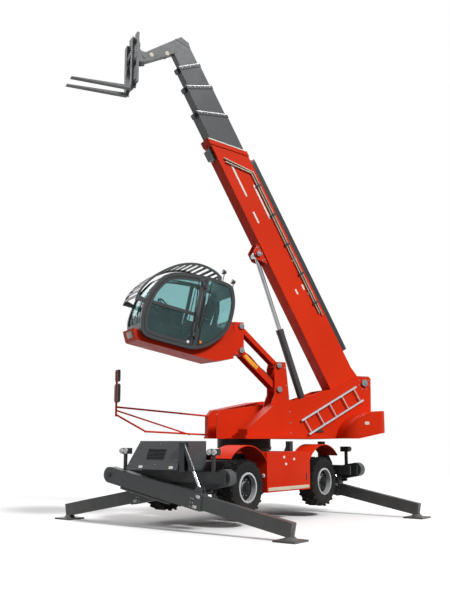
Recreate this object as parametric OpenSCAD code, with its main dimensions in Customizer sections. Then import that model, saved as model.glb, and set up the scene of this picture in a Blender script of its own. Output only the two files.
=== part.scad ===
// Rotating telehandler with a lifting cab, raised boom and crossed stabiliser legs.
// X points forward along the chassis, Y to the machine's left, Z up; the ground is Z = 0.

/* [Chassis] */
// Chassis middle, measured back from the origin
chassis_x = -230; // [-600:5:0]
// Distance between the axles
wheelbase = 3090; // [2900:10:3200]
// Height of the wheel centres, lifted off the ground by the legs
wheel_z = 805; // [780:5:860]
// Wheel centre plane from the middle
wheel_y = 1022; // [1000:1:1040]
// Outside diameter of a tyre
tyre_d = 1150; // [1080:5:1170]
// Width of a tyre
tyre_w = 445; // [400:5:460]
// Diameter of the rim flange
rim_d = 620; // [590:5:640]
// Kingpin plane from the middle
kingpin_y = 930; // [920:1:940]
// Half width of the main frame
frame_w = 350; // [300:5:370]
// Top of the main frame
frame_top = 1330; // [1280:5:1360]
// Outer face of the side tanks
tank_y = 1245; // [1200:5:1260]
// Underside of the side tanks
tank_z = 665; // [600:5:720]
// Top of the deck
deck_z = 1510; // [1480:5:1530]
// Top of the nose cover
nose_z = 1755; // [1700:5:1765]
// Foot of the sloping nose plate ahead of the chassis middle
nose_x = 2970; // [2940:5:3000]
// Radius of the mudguards about the wheel centre
guard_r = 865; // [840:5:880]
// Height of the tread bars
lug_h = 28; // [20:1:34]

/* [Legs] */
// Plane of the outer leg of each pair
leg_out = 2850; // [2800:5:2900]
// Plane of the inner leg of each pair
leg_in = 2500; // [2480:5:2520]
// Leg hinge from the middle
hinge_y = 1400; // [1350:5:1430]
// Height of the leg hinges
hinge_z = 1045; // [1030:5:1055]
// Foot centre from the middle
foot_y = 3100; // [3000:10:3200]
// Height of the ankle
ankle_z = 210; // [190:5:230]
// Depth of a leg box
box_h = 330; // [316:2:334]
// Width of a leg box
box_w = 200; // [180:2:204]
// Side of a square foot plate
pad_w = 470; // [420:10:500]

/* [Turret] */
// Turret slewed from straight ahead
slew = -28; // [-40:1:0]
// Underside of the turret
turret_z = 1800; // [1790:1:1820]
// Inner face of a side plate from the middle
plate_y = 230; // [226:1:240]
// Thickness of a side plate
plate_t = 40; // [30:1:44]
// Boom pivot behind the slew axis
pivot_x = -3200; // [-3250:5:-3150]
// Height of the boom pivot
pivot_z = 3160; // [3140:5:3180]

/* [Boom] */
// Boom angle above level
boom_angle = 61; // [50:1:70]
// Width of the outer section
boom_w = 400; // [390:2:404]
// Top face of the outer section below the pivot line
boom_top = 100; // [95:1:105]
// Underside of the outer section below the pivot line
boom_low = 900; // [880:5:905]
// Length of the outer section along its top
boom_len = 6450; // [6300:10:6500]
// Slant of the outer mouth
mouth = 650; // [500:10:700]
// Wall of every section
wall = 10; // [8:0.5:11]
// Fork spacing
fork_gap = 430; // [400:10:600]
// Fork blade length
fork_len = 1400; // [1200:10:1450]

/* [Cab] */
// Nose-up tilt of the cab
cab_tilt = 12; // [8:1:14]
// Front of the cab's frame ahead of the tilt pin
cab_front = 2371; // [2330:1:2400]
// Back of the cab's frame ahead of the tilt pin
cab_rear = 317; // [290:1:330]
// Roof of the cab's frame above the tilt pin
cab_top = 1345; // [1300:5:1380]
// Underside of the cab's frame below the tilt pin
cab_floor = -310; // [-330:5:-290]
// Wall of the cab's frame
cab_wall = 60; // [50:1:66]
// Width of the rails around the cab's windows
cab_rail = 75; // [70:1:90]
// Front edge of the post behind the door
door_x = 1120; // [1100:5:1140]
// Cab left face from the turret's middle
cab_y1 = 1250; // [1230:5:1270]
// Cab right face from the turret's middle
cab_y0 = 310; // [300:5:330]
// Angle of the cab arm above level
arm_angle = 42; // [38:1:46]
// Length of the cab arm links
arm_len = 1278; // [1250:2:1300]
// Distance between the two links' pins
arm_rise = 550; // [530:5:560]

/* [Hidden] */
$fn = 48;
axle_x = wheelbase / 2;
tank_x = axle_x - 675;
tank_in = 770;
// Underside of the slewing ring on the turret
ring_z = deck_z + 70;
leg_fall = atan2(hinge_z - ankle_z, hinge_y + foot_y);
leg_len = sqrt(pow(hinge_z - ankle_z, 2) + pow(hinge_y + foot_y, 2));
box_len = leg_len - 2020;
leg_wall = 12;
// Running clearance of sliding pads
fit = 0.4;
beam_w = box_w - 50;
beam_h = box_h - 60;
ear_s = box_len - 130;
ear_h = box_h / 2 + 62;
// Foot of the leg cylinder's rod, seen from the front for a left foot
ear_y = -hinge_y + ear_s * cos(leg_fall) + ear_h * sin(leg_fall);
ear_z = hinge_z - ear_s * sin(leg_fall) + ear_h * cos(leg_fall);
top_y = ear_y - 428;
top_z = ear_z + 842;
ram_lean = atan2(ear_y - top_y, top_z - ear_z);
ram_len = sqrt(pow(ear_y - top_y, 2) + pow(top_z - ear_z, 2));
// Eye of the lift cylinder in the boom's frame, and its foot in the turret's
eye_t = 4050;
eye_n = -boom_low - 130;
foot_x = pivot_x + 1390;
foot_z = turret_z + 250;
eye_x = pivot_x + eye_t * cos(boom_angle) - eye_n * sin(boom_angle);
eye_z = pivot_z + eye_t * sin(boom_angle) + eye_n * cos(boom_angle);
lift_lean = atan2(eye_z - foot_z, eye_x - foot_x);
lift_len = sqrt(pow(eye_z - foot_z, 2) + pow(eye_x - foot_x, 2));
// Head pin in the boom's frame
head_t = boom_len + 3000;
head_n = -boom_low - 550;
head_x = pivot_x + head_t * cos(boom_angle) - head_n * sin(boom_angle);
head_z = pivot_z + head_t * sin(boom_angle) + head_n * cos(boom_angle);
tower_x = -510;
arm_z = turret_z + 1110;
carr_x = tower_x + arm_len * cos(arm_angle);
carr_z = arm_z + arm_len * sin(arm_angle);
cab_x = carr_x + 240;
cab_z = carr_z - 15;
cab_mid = (cab_y0 + cab_y1) / 2;
// Points on a smooth curve between b and c, four to a span
function curve(a, b, c, d, t) = 0.5 * (2 * b + (c - a) * t + (2 * a - 5 * b + 4 * c - d) * t * t
  + (3 * b - a - 3 * c + d) * t * t * t);
function ring(p) = [for (i = [0:len(p) - 1], k = [0:3])
  curve(p[(i + len(p) - 1) % len(p)], p[i], p[(i + 1) % len(p)], p[(i + 2) % len(p)], k / 4)];
function strip(p) = [for (i = [0:len(p) - 2], k = [0:3])
  curve(p[max(i - 1, 0)], p[i], p[i + 1], p[min(i + 2, len(p) - 1)], k / 4)];
// A closed curve, or an open one, moved d to its left
function inset(p, d) = [for (i = [0:len(p) - 1])
  let (v = p[(i + 1) % len(p)] - p[(i + len(p) - 1) % len(p)]) p[i] + d * [-v[1], v[0]] / norm(v)];
function beside(p, d) = [for (i = [0:len(p) - 1])
  let (v = p[min(i + 1, len(p) - 1)] - p[max(i - 1, 0)]) p[i] + d * [-v[1], v[0]] / norm(v)];
// Points a to b of a curve, its two ends drawn in by a gap
function toward(p, q, gap) = p + gap * (q - p) / norm(q - p);
function run(p, a, b, gap) = concat([toward(p[a], p[a + 1], gap)], [for (i = [a + 1:b - 1]) p[i]],
  [toward(p[b], p[b - 1], gap)]);
function backwards(p) = [for (i = [len(p) - 1:-1:0]) p[i]];
// Part of a wall between points a and b of a closed curve, from depth d0 to d1
function band(p, a, b, d0, d1, gap = 0) =
  concat(run(inset(p, d0), a, b, gap), backwards(run(inset(p, d1), a, b, gap)));
// Outline of the cab's frame seen from its left: windscreen, roof, round back and floor
cab_line = ring([[cab_front - 330, cab_floor], [cab_front - 110, cab_floor + 70],
  [cab_front - 25, cab_floor + 270], [cab_front, cab_floor + 500],
  [cab_front - 67, cab_floor + 935], [cab_front - 200, cab_floor + 1230], [cab_front - 365, cab_top - 219],
  [cab_front - 650, cab_top - 92], [cab_front - 1250, cab_top], [cab_rear + 240, cab_top - 10],
  [cab_rear + 85, cab_top - 165], [cab_rear, cab_floor + 1140], [cab_rear + 58, cab_floor + 634],
  [cab_rear + 363, cab_floor + 229], [cab_rear + 745, cab_floor + 20], [cab_rear + 1160, cab_floor]]);
// Outline of the roof guard, from the back of the roof to below the windscreen's middle
guard_line = strip([[cab_front - 1630, cab_top + 95], [cab_front - 1470, cab_top + 185],
  [cab_front - 1220, cab_top + 240], [cab_front - 970, cab_top + 230], [cab_front - 720, cab_top + 155],
  [cab_front - 480, cab_top + 25], [cab_front - 190, cab_floor + 1440], [cab_front + 30, cab_floor + 1170],
  [cab_front + 160, cab_floor + 910], [cab_front + 200, cab_floor + 670]]);

// Helpers
module in_turret() {
  translate([chassis_x, 0, 0])
    rotate([0, 0, slew])
      children();
}
module in_boom() {
  in_turret()
    translate([pivot_x, 0, pivot_z])
      rotate([0, -boom_angle, 0])
        children();
}
module in_cab() {
  in_turret()
    translate([cab_x, 0, cab_z])
      rotate([0, -cab_tilt, 0])
        children();
}
// Side profile in X and Z, extruded from y0 to y1
module side(y0, y1) {
  translate([0, y1, 0])
    rotate([90, 0, 0])
      linear_extrude(y1 - y0)
        children();
}
module bar_y(x, z, d, y0, y1) {
  translate([x, y0, z])
    rotate([-90, 0, 0])
      cylinder(d = d, h = y1 - y0);
}
module bar_x(y, z, d, x0, x1) {
  translate([x0, y, z])
    rotate([0, 90, 0])
      cylinder(d = d, h = x1 - x0);
}
module box(x0, x1, y0, y1, z0, z1) {
  translate([x0, y0, z0])
    cube([x1 - x0, y1 - y0, z1 - z0]);
}
module rrect(x0, x1, y0, y1, r) {
  translate([x0 + r, y0])
    square([x1 - x0 - 2 * r, y1 - y0]);
  translate([x0, y0 + r])
    square([x1 - x0, y1 - y0 - 2 * r]);
  for (x = [x0 + r, x1 - r], y = [y0 + r, y1 - r])
    translate([x, y])
      circle(r);
}
module tube(a, b, d) {
  v = b - a;
  len = norm(v);
  translate(a)
    rotate([0, acos(v[2] / len), atan2(v[1], v[0])])
      cylinder(d = d, h = len);
}

// Chassis
module chassis_frame() {
  color("#1d1e20") translate([chassis_x, 0, 0]) {
    difference() {
      union() {
        box(-2360, 2360, -frame_w, frame_w, 640, frame_top);
        for (m = [0, 180]) rotate([0, 0, m]) {
          side_end();
          axle();
        }
        translate([0, 0, frame_top - 20])
          cylinder(r = 560, h = ring_z - fit - frame_top + 20, $fn = 96);
        for (y = [-1, 1])
          box(-600, 600, min(y * frame_w, y * tank_in), max(y * frame_w, y * tank_in), 900, 1100);
      }
      box(-1000, 1000, -frame_w + 30, frame_w - 30, 600, 1250);
    }
  }
}
// Front end: plates between the crossed legs, hinge pins, ram brackets
module side_end() {
  for (x = [2300, 2640])
    box(x, x + 46, -hinge_y - 100, hinge_y + 100, hinge_z - 110, hinge_z + 105);
  box(2300, 2740, -640, 640, hinge_z + 105, hinge_z + 137);
  box(2000, 2346, -frame_w, frame_w, hinge_z, hinge_z + 137);
  bar_x(-hinge_y, hinge_z, 90, 2640, leg_out + box_w / 2 + 40);
  bar_x(hinge_y, hinge_z, 90, 2300, 2690);
  // Ram brackets rise beside the cover
  for (x = [leg_out - 75, leg_out + 55])
    box(x, x + 20, top_y - 70, top_y + 60, hinge_z + 105, top_z + 60);
  box(2640, leg_out + 75, top_y - 70, top_y + 60, hinge_z + 105, hinge_z + 137);
  box(leg_out - 75, leg_out + 75, top_y - 70, top_y - 48, hinge_z + 105, top_z + 60);
  bar_x(top_y, top_z, 45, leg_out - 85, leg_out + 85);
  for (x = [leg_in - 75, leg_in + 55])
    box(x, x + 20, -top_y - 60, -top_y + 70, hinge_z + 105, top_z + 60);
  box(leg_in - 75, leg_in + 75, -top_y + 48, -top_y + 70, hinge_z + 105, top_z + 60);
  bar_x(-top_y, top_z, 45, leg_in - 85, leg_in + 85);
}
module axle() {
  translate([axle_x, 0, wheel_z]) {
    rotate([90, 0, 0])
      cylinder(d = 200, h = 2 * (kingpin_y - 160), center = true);
    sphere(d = 420);
    for (s = [-1, 1]) {
      for (z = [-190, 150])
        box(-80, 80, min(s * (kingpin_y - 170), s * kingpin_y), max(s * (kingpin_y - 170), s * kingpin_y), z, z + 40);
      box(-80, 80, min(s * (kingpin_y - 190), s * (kingpin_y - 145)),
        max(s * (kingpin_y - 190), s * (kingpin_y - 145)), -190, 190);
      translate([0, s * kingpin_y, -200])
        cylinder(d = 70, h = 400);
      for (z = [-190, 150])
        translate([0, s * kingpin_y, z])
          cylinder(r = 80, h = 40);
    }
  }
}
module bodywork() {
  color("#c4231c") translate([chassis_x, 0, 0]) {
    difference() {
      box(-tank_x, tank_x, -tank_y, tank_y, deck_z - 30, deck_z);
      translate([0, 0, deck_z - 60])
        cylinder(r = 600, h = 120, $fn = 96);
    }
    for (y = [-1, 1]) {
      difference() {
        box(-tank_x, tank_x, min(y * tank_in, y * tank_y), max(y * tank_in, y * tank_y), tank_z, deck_z);
        box(-tank_x + 20, tank_x - 20, min(y * (tank_in + 20), y * (tank_y - 20)),
          max(y * (tank_in + 20), y * (tank_y - 20)), tank_z - 20, deck_z - 30);
      }
      // Mudguards, round the wheels
      for (x = [-axle_x, axle_x])
        intersection() {
          difference() {
            bar_y(x, wheel_z, 2 * guard_r, min(y * 730, y * tank_y), max(y * 730, y * tank_y));
            bar_y(x, wheel_z, 2 * guard_r - 40, min(y * 700, y * 1300), max(y * 700, y * 1300));
          }
          side(-1400, 1400)
            translate([x, wheel_z])
              mirror([x < 0 ? 1 : 0, 0])
                polygon([[0, 0], [1400 * cos(44), 1400 * sin(44)], [0, 1400], [-1400, 1400],
                  [1400 * cos(142), 1400 * sin(142)]]);
        }
    }
  }
}
module nose_cover() {
  color("#4b4e51") translate([chassis_x, 0, 0])
    difference() {
      union() {
        difference() {
          side(-500, 500)
            polygon([[2020, hinge_z + 137], [nose_x - 30, hinge_z + 137], [2705, nose_z], [2020, nose_z]]);
          side(-480, 480)
            polygon([[2000, hinge_z + 100], [nose_x - 40, hinge_z + 100], [2690, nose_z - 20], [2000, nose_z - 20]]);
        }
        // Sloping plate, wider at its foot and on the machine's right
        intersection() {
          side(-900, 505)
            polygon([[nose_x - 45, hinge_z + 140], [nose_x, hinge_z + 140], [2735, nose_z], [2690, nose_z]]);
          side_x(2600, nose_x + 50)
            polygon([[-900, hinge_z + 140], [505, hinge_z + 140], [505, nose_z], [-700, nose_z]]);
        }
      }
      // Grille opening
      box(2600, nose_x + 50, -400, 100, 1375, 1590);
      // Room for the main frame
      box(1990, 2362, -frame_w - 2, frame_w + 2, 1100, frame_top + 2);
    }
}
// Lamps on posts at the four corners
module lamp_pods() {
  color("#1a1b1d") translate([chassis_x, 0, 0])
    for (x = [0, 1], y = [0, 1])
      mirror([x, 0, 0]) mirror([0, y, 0]) {
        box(2640, 2686, 1170, 1240, hinge_z + 105, 1500);
        translate([0, 0, 1480])
          linear_extrude(125)
            rrect(2570, 2690, 1075, 1335, 40);
        for (k = [1140, 1270])
          bar_x(k, 1545, 96, 2660, 2720);
      }
}

// Turret
module turret_frame() {
  color("#c8261d") in_turret() {
    for (s = [-1, 1])
      side(min(s * plate_y, s * (plate_y + plate_t)), max(s * plate_y, s * (plate_y + plate_t)))
        polygon([[810, turret_z], [810, 2330], [730, 2430], [-70, 2540], [-1000, 2690], [-1360, 2730],
          [-1620, 2810], [-1980, 2940], [-2300, 2990], [-2800, 3230], [-2980, 3330], [-3340, 3330],
          [-3400, 3270], [-3370, 1920], [-2520, turret_z], [-1650, turret_z - 20]]);
    box(-2500, 450, -plate_y - 5, plate_y + 5, turret_z, turret_z + 80);
    box(-3370, -3240, -plate_y - 5, plate_y + 5, 1920, 2200);
    box(-2560, -2480, -plate_y - 5, plate_y + 5, turret_z + 5, 1980);
    box(-900, 420, plate_y, 960, turret_z, turret_z + 80);
    box(-2300, 520, -1160, -plate_y, turret_z, turret_z + 50);
    translate([0, 0, ring_z])
      cylinder(r = 620, h = turret_z + 20 - ring_z, $fn = 96);
    bar_y(pivot_x, pivot_z, 130, -plate_y - plate_t - 20, plate_y + plate_t + 20);
    // Cheeks of the lift cylinder's foot
    for (y = [-170, 130])
      side(y, y + 40)
        polygon([[foot_x - 130, turret_z + 60], [foot_x + 130, turret_z + 60], [foot_x + 90, foot_z + 60],
          [foot_x - 90, foot_z + 60]]);
  }
}
// Counterweight: round in plan, its left side swelling out of the side plate
module counterweight() {
  color("#b9221b") in_turret()
    difference() {
      intersection() {
        translate([0, 0, 1700])
          linear_extrude(900)
            rrect(-3560, -2370, -1160, 830, 380);
        side(-1200, 900)
          polygon(concat([[-3600, 1960], [-3250, 1915], [-2640, 1800], [-2360, 1800]],
            strip([[-2380, 1830], [-2410, 2010], [-2520, 2170], [-2700, 2305], [-2960, 2414], [-3330, 2464]]),
            [[-3600, 2464]]));
      }
      side(-plate_y - plate_t, plate_y + plate_t)
        polygon([[-3400 - fit, 3270], [-3370 - fit, 1920], [-3366, 1700], [-2000, 1700], [-2000, 3270]]);
    }
}
module engine_hood() {
  color("#c4231c") in_turret()
    side(-1150, -plate_y - plate_t - 5)
      polygon([[-2300, turret_z + 50], [500, turret_z + 50], [500, 2330], [380, 2480], [-600, 2680], [-2200, 2680],
        [-2300, 2580]]);
}
module ladder() {
  color("#b9bcc0") in_turret() {
    for (p = [[-2930, 3060, -1370, 2220], [-3130, 2740, -1570, 1900]])
      translate([p[0], 300, p[1]])
        rotate([0, atan2(p[1] - p[3], p[2] - p[0]), 0])
          box(0, 1770, 0, 36, -22, 22);
    for (k = [0.05, 0.275, 0.5, 0.725, 0.95])
      tube([-2930 + 1560 * k, 318, 3060 - 840 * k], [-3130 + 1560 * k, 318, 2740 - 840 * k], 30);
    for (p = [[-2660, 2914], [-1650, 2370]])
      bar_y(p[0], p[1], 30, plate_y + plate_t, 310);
  }
}
module mirror_frame() {
  color("#c4231c") in_turret() {
    tube([580, -450, 2310], [2960, -450, 2500], 42);
    tube([1180, -450, 1890], [2960, -450, 2425], 36);
    tube([580, -450, 1880], [2260, -450, 1960], 42);
    tube([2250, -450, 1955], [2960, -450, 2330], 42);
    translate([2260, -450, 1960])
      sphere(d = 50);
    tube([2960, -450, 2290], [2960, -450, 3330], 48);
    tube([580, -450, 1850], [580, -450, 2345], 60);
    tube([580, -plate_y - plate_t, 2250], [580, -450, 2250], 50);
    box(2915, 2960, -560, -340, 3080, 3320);
    box(2915, 2960, -600, -320, 2620, 3000);
  }
}
module arm_tower() {
  color("#c8261d") in_turret() {
    for (y = [400, 760])
      side(y, y + 40)
        polygon([[tower_x - 180, arm_z + arm_rise + 80], [tower_x + 70, arm_z + arm_rise + 80],
          [tower_x + 110, arm_z + arm_rise - 60], [tower_x + 110, arm_z - 110], [-300, 2560],
          [-200, turret_z + 80], [-860, turret_z + 80], [-800, 2480]]);
    box(tower_x - 180, tower_x - 130, 400, 800, arm_z - 300, arm_z + arm_rise + 60);
    for (z = [arm_z, arm_z + arm_rise])
      bar_y(tower_x, z, 60, 380, 820);
    // Wedge fairing
    side(440, 900)
      polygon([[-460, turret_z + 80], [-460, 2600], [-400, 2600], [350, 2010], [350, turret_z + 80]]);
  }
}

// Boom
module section(t0, t1, slant, hw, top, low) {
  difference() {
    side(-hw, hw)
      polygon([[t0, -low], [t0, -top], [t1, -top], [t1 + slant, -low]]);
    side(-hw + wall, hw - wall)
      polygon([[t0 - 10, -low + wall], [t0 - 10, -top - wall], [t1 + 100, -top - wall],
        [t1 + slant + 100, -low + wall]]);
  }
}
module boom_outer() {
  color("#d83a24") in_boom() {
    difference() {
      union() {
        section(60, boom_len, mouth, boom_w / 2, boom_top, boom_low);
        // Root cheeks around the pivot
        for (y = [-boom_w / 2, boom_w / 2 - 40])
          side(y, y + 40)
            union() {
              polygon([[-30, -130], [0, 0], [500, -boom_top], [500, -boom_low], [60, -boom_low]]);
              circle(130);
            }
      }
      bar_y(0, 0, 131, -400, 400);
    }
    // Lifting eye over the mouth
    side(-20, 20)
      polygon([[boom_len - 440, -boom_top - 5], [boom_len - 170, -boom_top - 5], [boom_len - 230, -boom_top + 130],
        [boom_len - 340, -boom_top + 130]]);
    // Lift bracket cheeks
    for (y = [-170, 120])
      side(y, y + 50)
        polygon([[eye_t - 330, -boom_low + 5], [eye_t + 250, -boom_low + 5], [eye_t + 110, eye_n - 90],
          [eye_t - 110, eye_n - 90]]);
    bar_y(eye_t, eye_n, 90, -190, 190);
    box(boom_len + mouth - 200, boom_len + mouth - 60, -60, 60, -boom_low + wall / 2, -lows[1] - fit);
    // Mouth collar
    difference() {
      side(-boom_w / 2 - 18, boom_w / 2 + 18)
        polygon([[boom_len - 150, -boom_top + 14], [boom_len, -boom_top + 14],
          [boom_len + mouth, -boom_low - 14], [boom_len + mouth - 150, -boom_low - 14]]);
      side(-boom_w / 2 + wall, boom_w / 2 - wall)
        polygon([[boom_len - 400, -boom_top - wall], [boom_len + 400, -boom_top - wall],
          [boom_len + mouth + 400, -boom_low + wall], [boom_len + mouth - 400, -boom_low + wall]]);
    }
  }
}
// Cover along the top and the hose bracket under the mouth
module boom_tray() {
  color("#1d1e20") in_boom() {
    side(-110, 110)
      polygon([[900, -boom_top], [960, -boom_top + 60], [boom_len - 610, -boom_top + 60], [boom_len - 550, -boom_top]]);
    side(-120, 120)
      polygon([[boom_len + mouth - 560, -boom_low], [boom_len + mouth - 500, -boom_low - 110],
        [boom_len + mouth - 260, -boom_low - 110], [boom_len + mouth - 200, -boom_low]]);
  }
}
module boom_pipes() {
  color("#a9a294") in_boom()
    for (k = [0, 1]) {
      tube([2000 + 70 * k, boom_w / 2 + 24, -190 - 60 * k], [5900, boom_w / 2 + 24, -190 - 60 * k], 34);
      tube([5900, boom_w / 2 + 24, -190 - 60 * k], [6500 - 100 * k, boom_w / 2 + 24, -760], 34);
      translate([5900, boom_w / 2 + 24, -190 - 60 * k])
        sphere(d = 42);
      box(2600 + 900 * k, 2660 + 900 * k, boom_w / 2, boom_w / 2 + 10, -290, -150);
    }
}
// Inner sections: half width, top and underside of each
hw = [for (k = [0:4]) boom_w / 2 - 25 * k];
tops = [for (k = [0:4]) boom_top + (k == 0 ? 0 : 2) + 20 * k];
lows = [for (k = [0:4]) boom_low - (k == 0 ? 0 : 5) - 60 * k];
slants = [mouth, mouth - 300, mouth - 430, mouth - 560];
ends = [boom_len, boom_len + 1010, boom_len + 1800, boom_len + 2420, boom_len + 2880];
module stage(k) {
  color("#3b3e41") in_boom() {
    section(700 + 250 * k, ends[k], slants[k], hw[k], tops[k], lows[k]);
    top_pad(k);
    low_pad(k);
    // Chain bracket under the mouth
    box(ends[k] + slants[k] - 130, ends[k] + slants[k] - 20, -hw[k] / 2, hw[k] / 2, -lows[k] - 70, -lows[k]);
    difference() {
      side(-hw[k] - 12, hw[k] + 12)
        polygon([[ends[k] - 90, -tops[k] + 10], [ends[k], -tops[k] + 10],
          [ends[k] + slants[k], -lows[k] - 10], [ends[k] + slants[k] - 90, -lows[k] - 10]]);
      side(-hw[k] + wall, hw[k] - wall)
        polygon([[ends[k] - 400, -tops[k] - wall], [ends[k] + 400, -tops[k] - wall],
          [ends[k] + slants[k] + 400, -lows[k] + wall], [ends[k] + slants[k] - 400, -lows[k] + wall]]);
    }
  }
}
// Wear pad on a section's rear top, running under the roof of the section around it
module top_pad(k) {
  box(800 + 250 * k, 1000 + 250 * k, -60, 60, -tops[k] - wall / 2, -tops[k - 1] - wall - fit);
}
// Wear pad on the floor of a mouth, under the section that slides in it
module low_pad(k) {
  box(ends[k] + slants[k] - 200, ends[k] + slants[k] - 60, -60, 60, -lows[k] + wall / 2, -lows[k + 1] - fit);
}
module boom_stage_1() { stage(1); }
module boom_stage_2() { stage(2); }
module boom_stage_3() { stage(3); }
module boom_stage_4() {
  color("#55585b") in_boom() {
    section(1700, ends[4] - 40, 0, hw[4], tops[4], lows[4]);
    top_pad(4);
    difference() {
      union() {
        side(-hw[4], hw[4])
          polygon([[ends[4] - 60, -tops[4]], [ends[4] + 90, -tops[4] + 30], [ends[4] + 290, -tops[4] - 90],
            [head_t + 95, head_n + 80], [head_t, head_n], [head_t - 115, head_n - 50],
            [ends[4] - 30, -lows[4]]]);
        bar_y(head_t, head_n, 250, -hw[4], hw[4]);
      }
      bar_y(head_t, head_n, 81, -300, 300);
    }
  }
}
module lift_rod() {
  color("#c9ccd0") in_turret() translate([foot_x, 0, foot_z]) rotate([0, -lift_lean, 0])
    difference() {
      union() {
        bar_y(lift_len, 0, 190, -90, 90);
        translate([1920, 0, 0])
          rotate([0, 90, 0])
            cylinder(d = 105, h = lift_len - 1970);
      }
      bar_y(lift_len, 0, 91, -100, 100);
    }
}
module lift_barrel() {
  color("#2a2b2d") in_turret() translate([foot_x, 0, foot_z]) rotate([0, -lift_lean, 0])
    difference() {
      union() {
        bar_y(0, 0, 190, -90, 90);
        rotate([0, 90, 0])
          cylinder(d = 180, h = 2500);
        translate([2400, 0, 0])
          rotate([0, 90, 0])
            cylinder(d = 190, h = 110);
      }
      translate([115, 0, 0])
        rotate([0, 90, 0])
          cylinder(d = 120, h = 2200);
      translate([115, 0, 0])
        rotate([0, 90, 0])
          cylinder(d = 106, h = 2500);
      bar_y(0, 0, 81, -100, 100);
    }
}
module at_head() {
  in_turret()
    translate([head_x, 0, head_z])
      children();
}
module fork_hitch() {
  color("#6a6d70") at_head() {
    for (y = [-hw[4] - 45, hw[4] + 15])
      side(y, y + 30)
        polygon([[-90, -110], [60, -150], [165, -150], [165, 210], [60, 120], [-90, 110]]);
    box(135, 165, -hw[4] - 45, hw[4] + 45, -150, 210);
    bar_y(0, 0, 80, -hw[4] - 60, hw[4] + 60);
    bar_y(175, 180, 50, -300, 300);
    for (y = [-230, 200])
      side(y, y + 30)
        polygon([[135, 130], [200, 150], [200, 210], [135, 210]]);
    box(135, 165, -230, 230, 130, 210);
  }
}
module fork_carriage() {
  color("#4a4d50") at_head() {
    difference() {
      union() {
        for (y = [-285, 245])
          side(y, y + 40)
            polygon([[150, 150], [210, 130], [230, -900], [290, -900], [290, 330], [200, 330], [150, 230]]);
        for (z = [-820, -300, 230])
          box(235, 290, -480, 480, z, z + 100);
        for (y = [-480, 440])
          box(235, 290, y, y + 40, -820, 330);
        // Stepped upper edge
        for (p = [[-480, -320, 70], [-130, 130, 120], [320, 480, 70]])
          box(235, 290, p[0], p[1], 325, 330 + p[2]);
      }
      bar_y(175, 180, 51, -300, 300);
    }
    for (s = [-1, 1]) {
      side(s * fork_gap / 2 - 65, s * fork_gap / 2 + 65)
        polygon([[291, -930], [291, 330], [335, 330], [345, -860], [345 + fork_len, -905],
          [345 + fork_len, -925], [345, -930]]);
      box(280, 300, s * fork_gap / 2 - 65, s * fork_gap / 2 + 65, -810, -730);
      box(280, 300, s * fork_gap / 2 - 65, s * fork_gap / 2 + 65, 240, 320);
    }
  }
}

// Cab arm
module link(x, z, w, h) {
  translate([x, 0, z]) rotate([0, -arm_angle, 0])
    difference() {
      union() {
        bar_y(0, 0, 150, 600 - w / 2, 600 + w / 2);
        bar_y(arm_len, 0, 150, 600 - w / 2, 600 + w / 2);
        box(20, arm_len - 20, 600 - w / 2, 600 + w / 2, -h / 2, h / 2);
      }
      bar_y(0, 0, 61, 300, 900);
      bar_y(arm_len, 0, 61, 300, 900);
      box(100, arm_len - 100, 600 - w / 2 + 16, 600 + w / 2 - 16, -h, h / 2 - 16);
    }
}
module cab_lower_link() { color("#c8261d") in_turret() link(tower_x, arm_z, 280, 130); }
module cab_upper_link() { color("#c8261d") in_turret() link(tower_x, arm_z + arm_rise, 240, 100); }
module cab_carrier() {
  color("#c8261d") in_turret() {
    for (y = [400, 760])
      side(y, y + 40)
        polygon([[carr_x - 60, carr_z - 90], [carr_x + 180, carr_z - 90], [carr_x + 180, carr_z + arm_rise + 90],
          [carr_x - 60, carr_z + arm_rise + 90]]);
    box(carr_x + 130, carr_x + 180, 400, 800, carr_z - 90, carr_z + arm_rise + 90);
    for (z = [carr_z, carr_z + arm_rise])
      bar_y(carr_x, z, 60, 390, 810);
    for (y = [430, 740])
      side(y, y + 30)
        polygon([[carr_x + 170, carr_z - 85], [cab_x + 45, cab_z - 60], [cab_x + 45, cab_z + 55],
          [carr_x + 170, carr_z + 80]]);
    bar_y(cab_x, cab_z, 50, 425, 775);
  }
}

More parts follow.
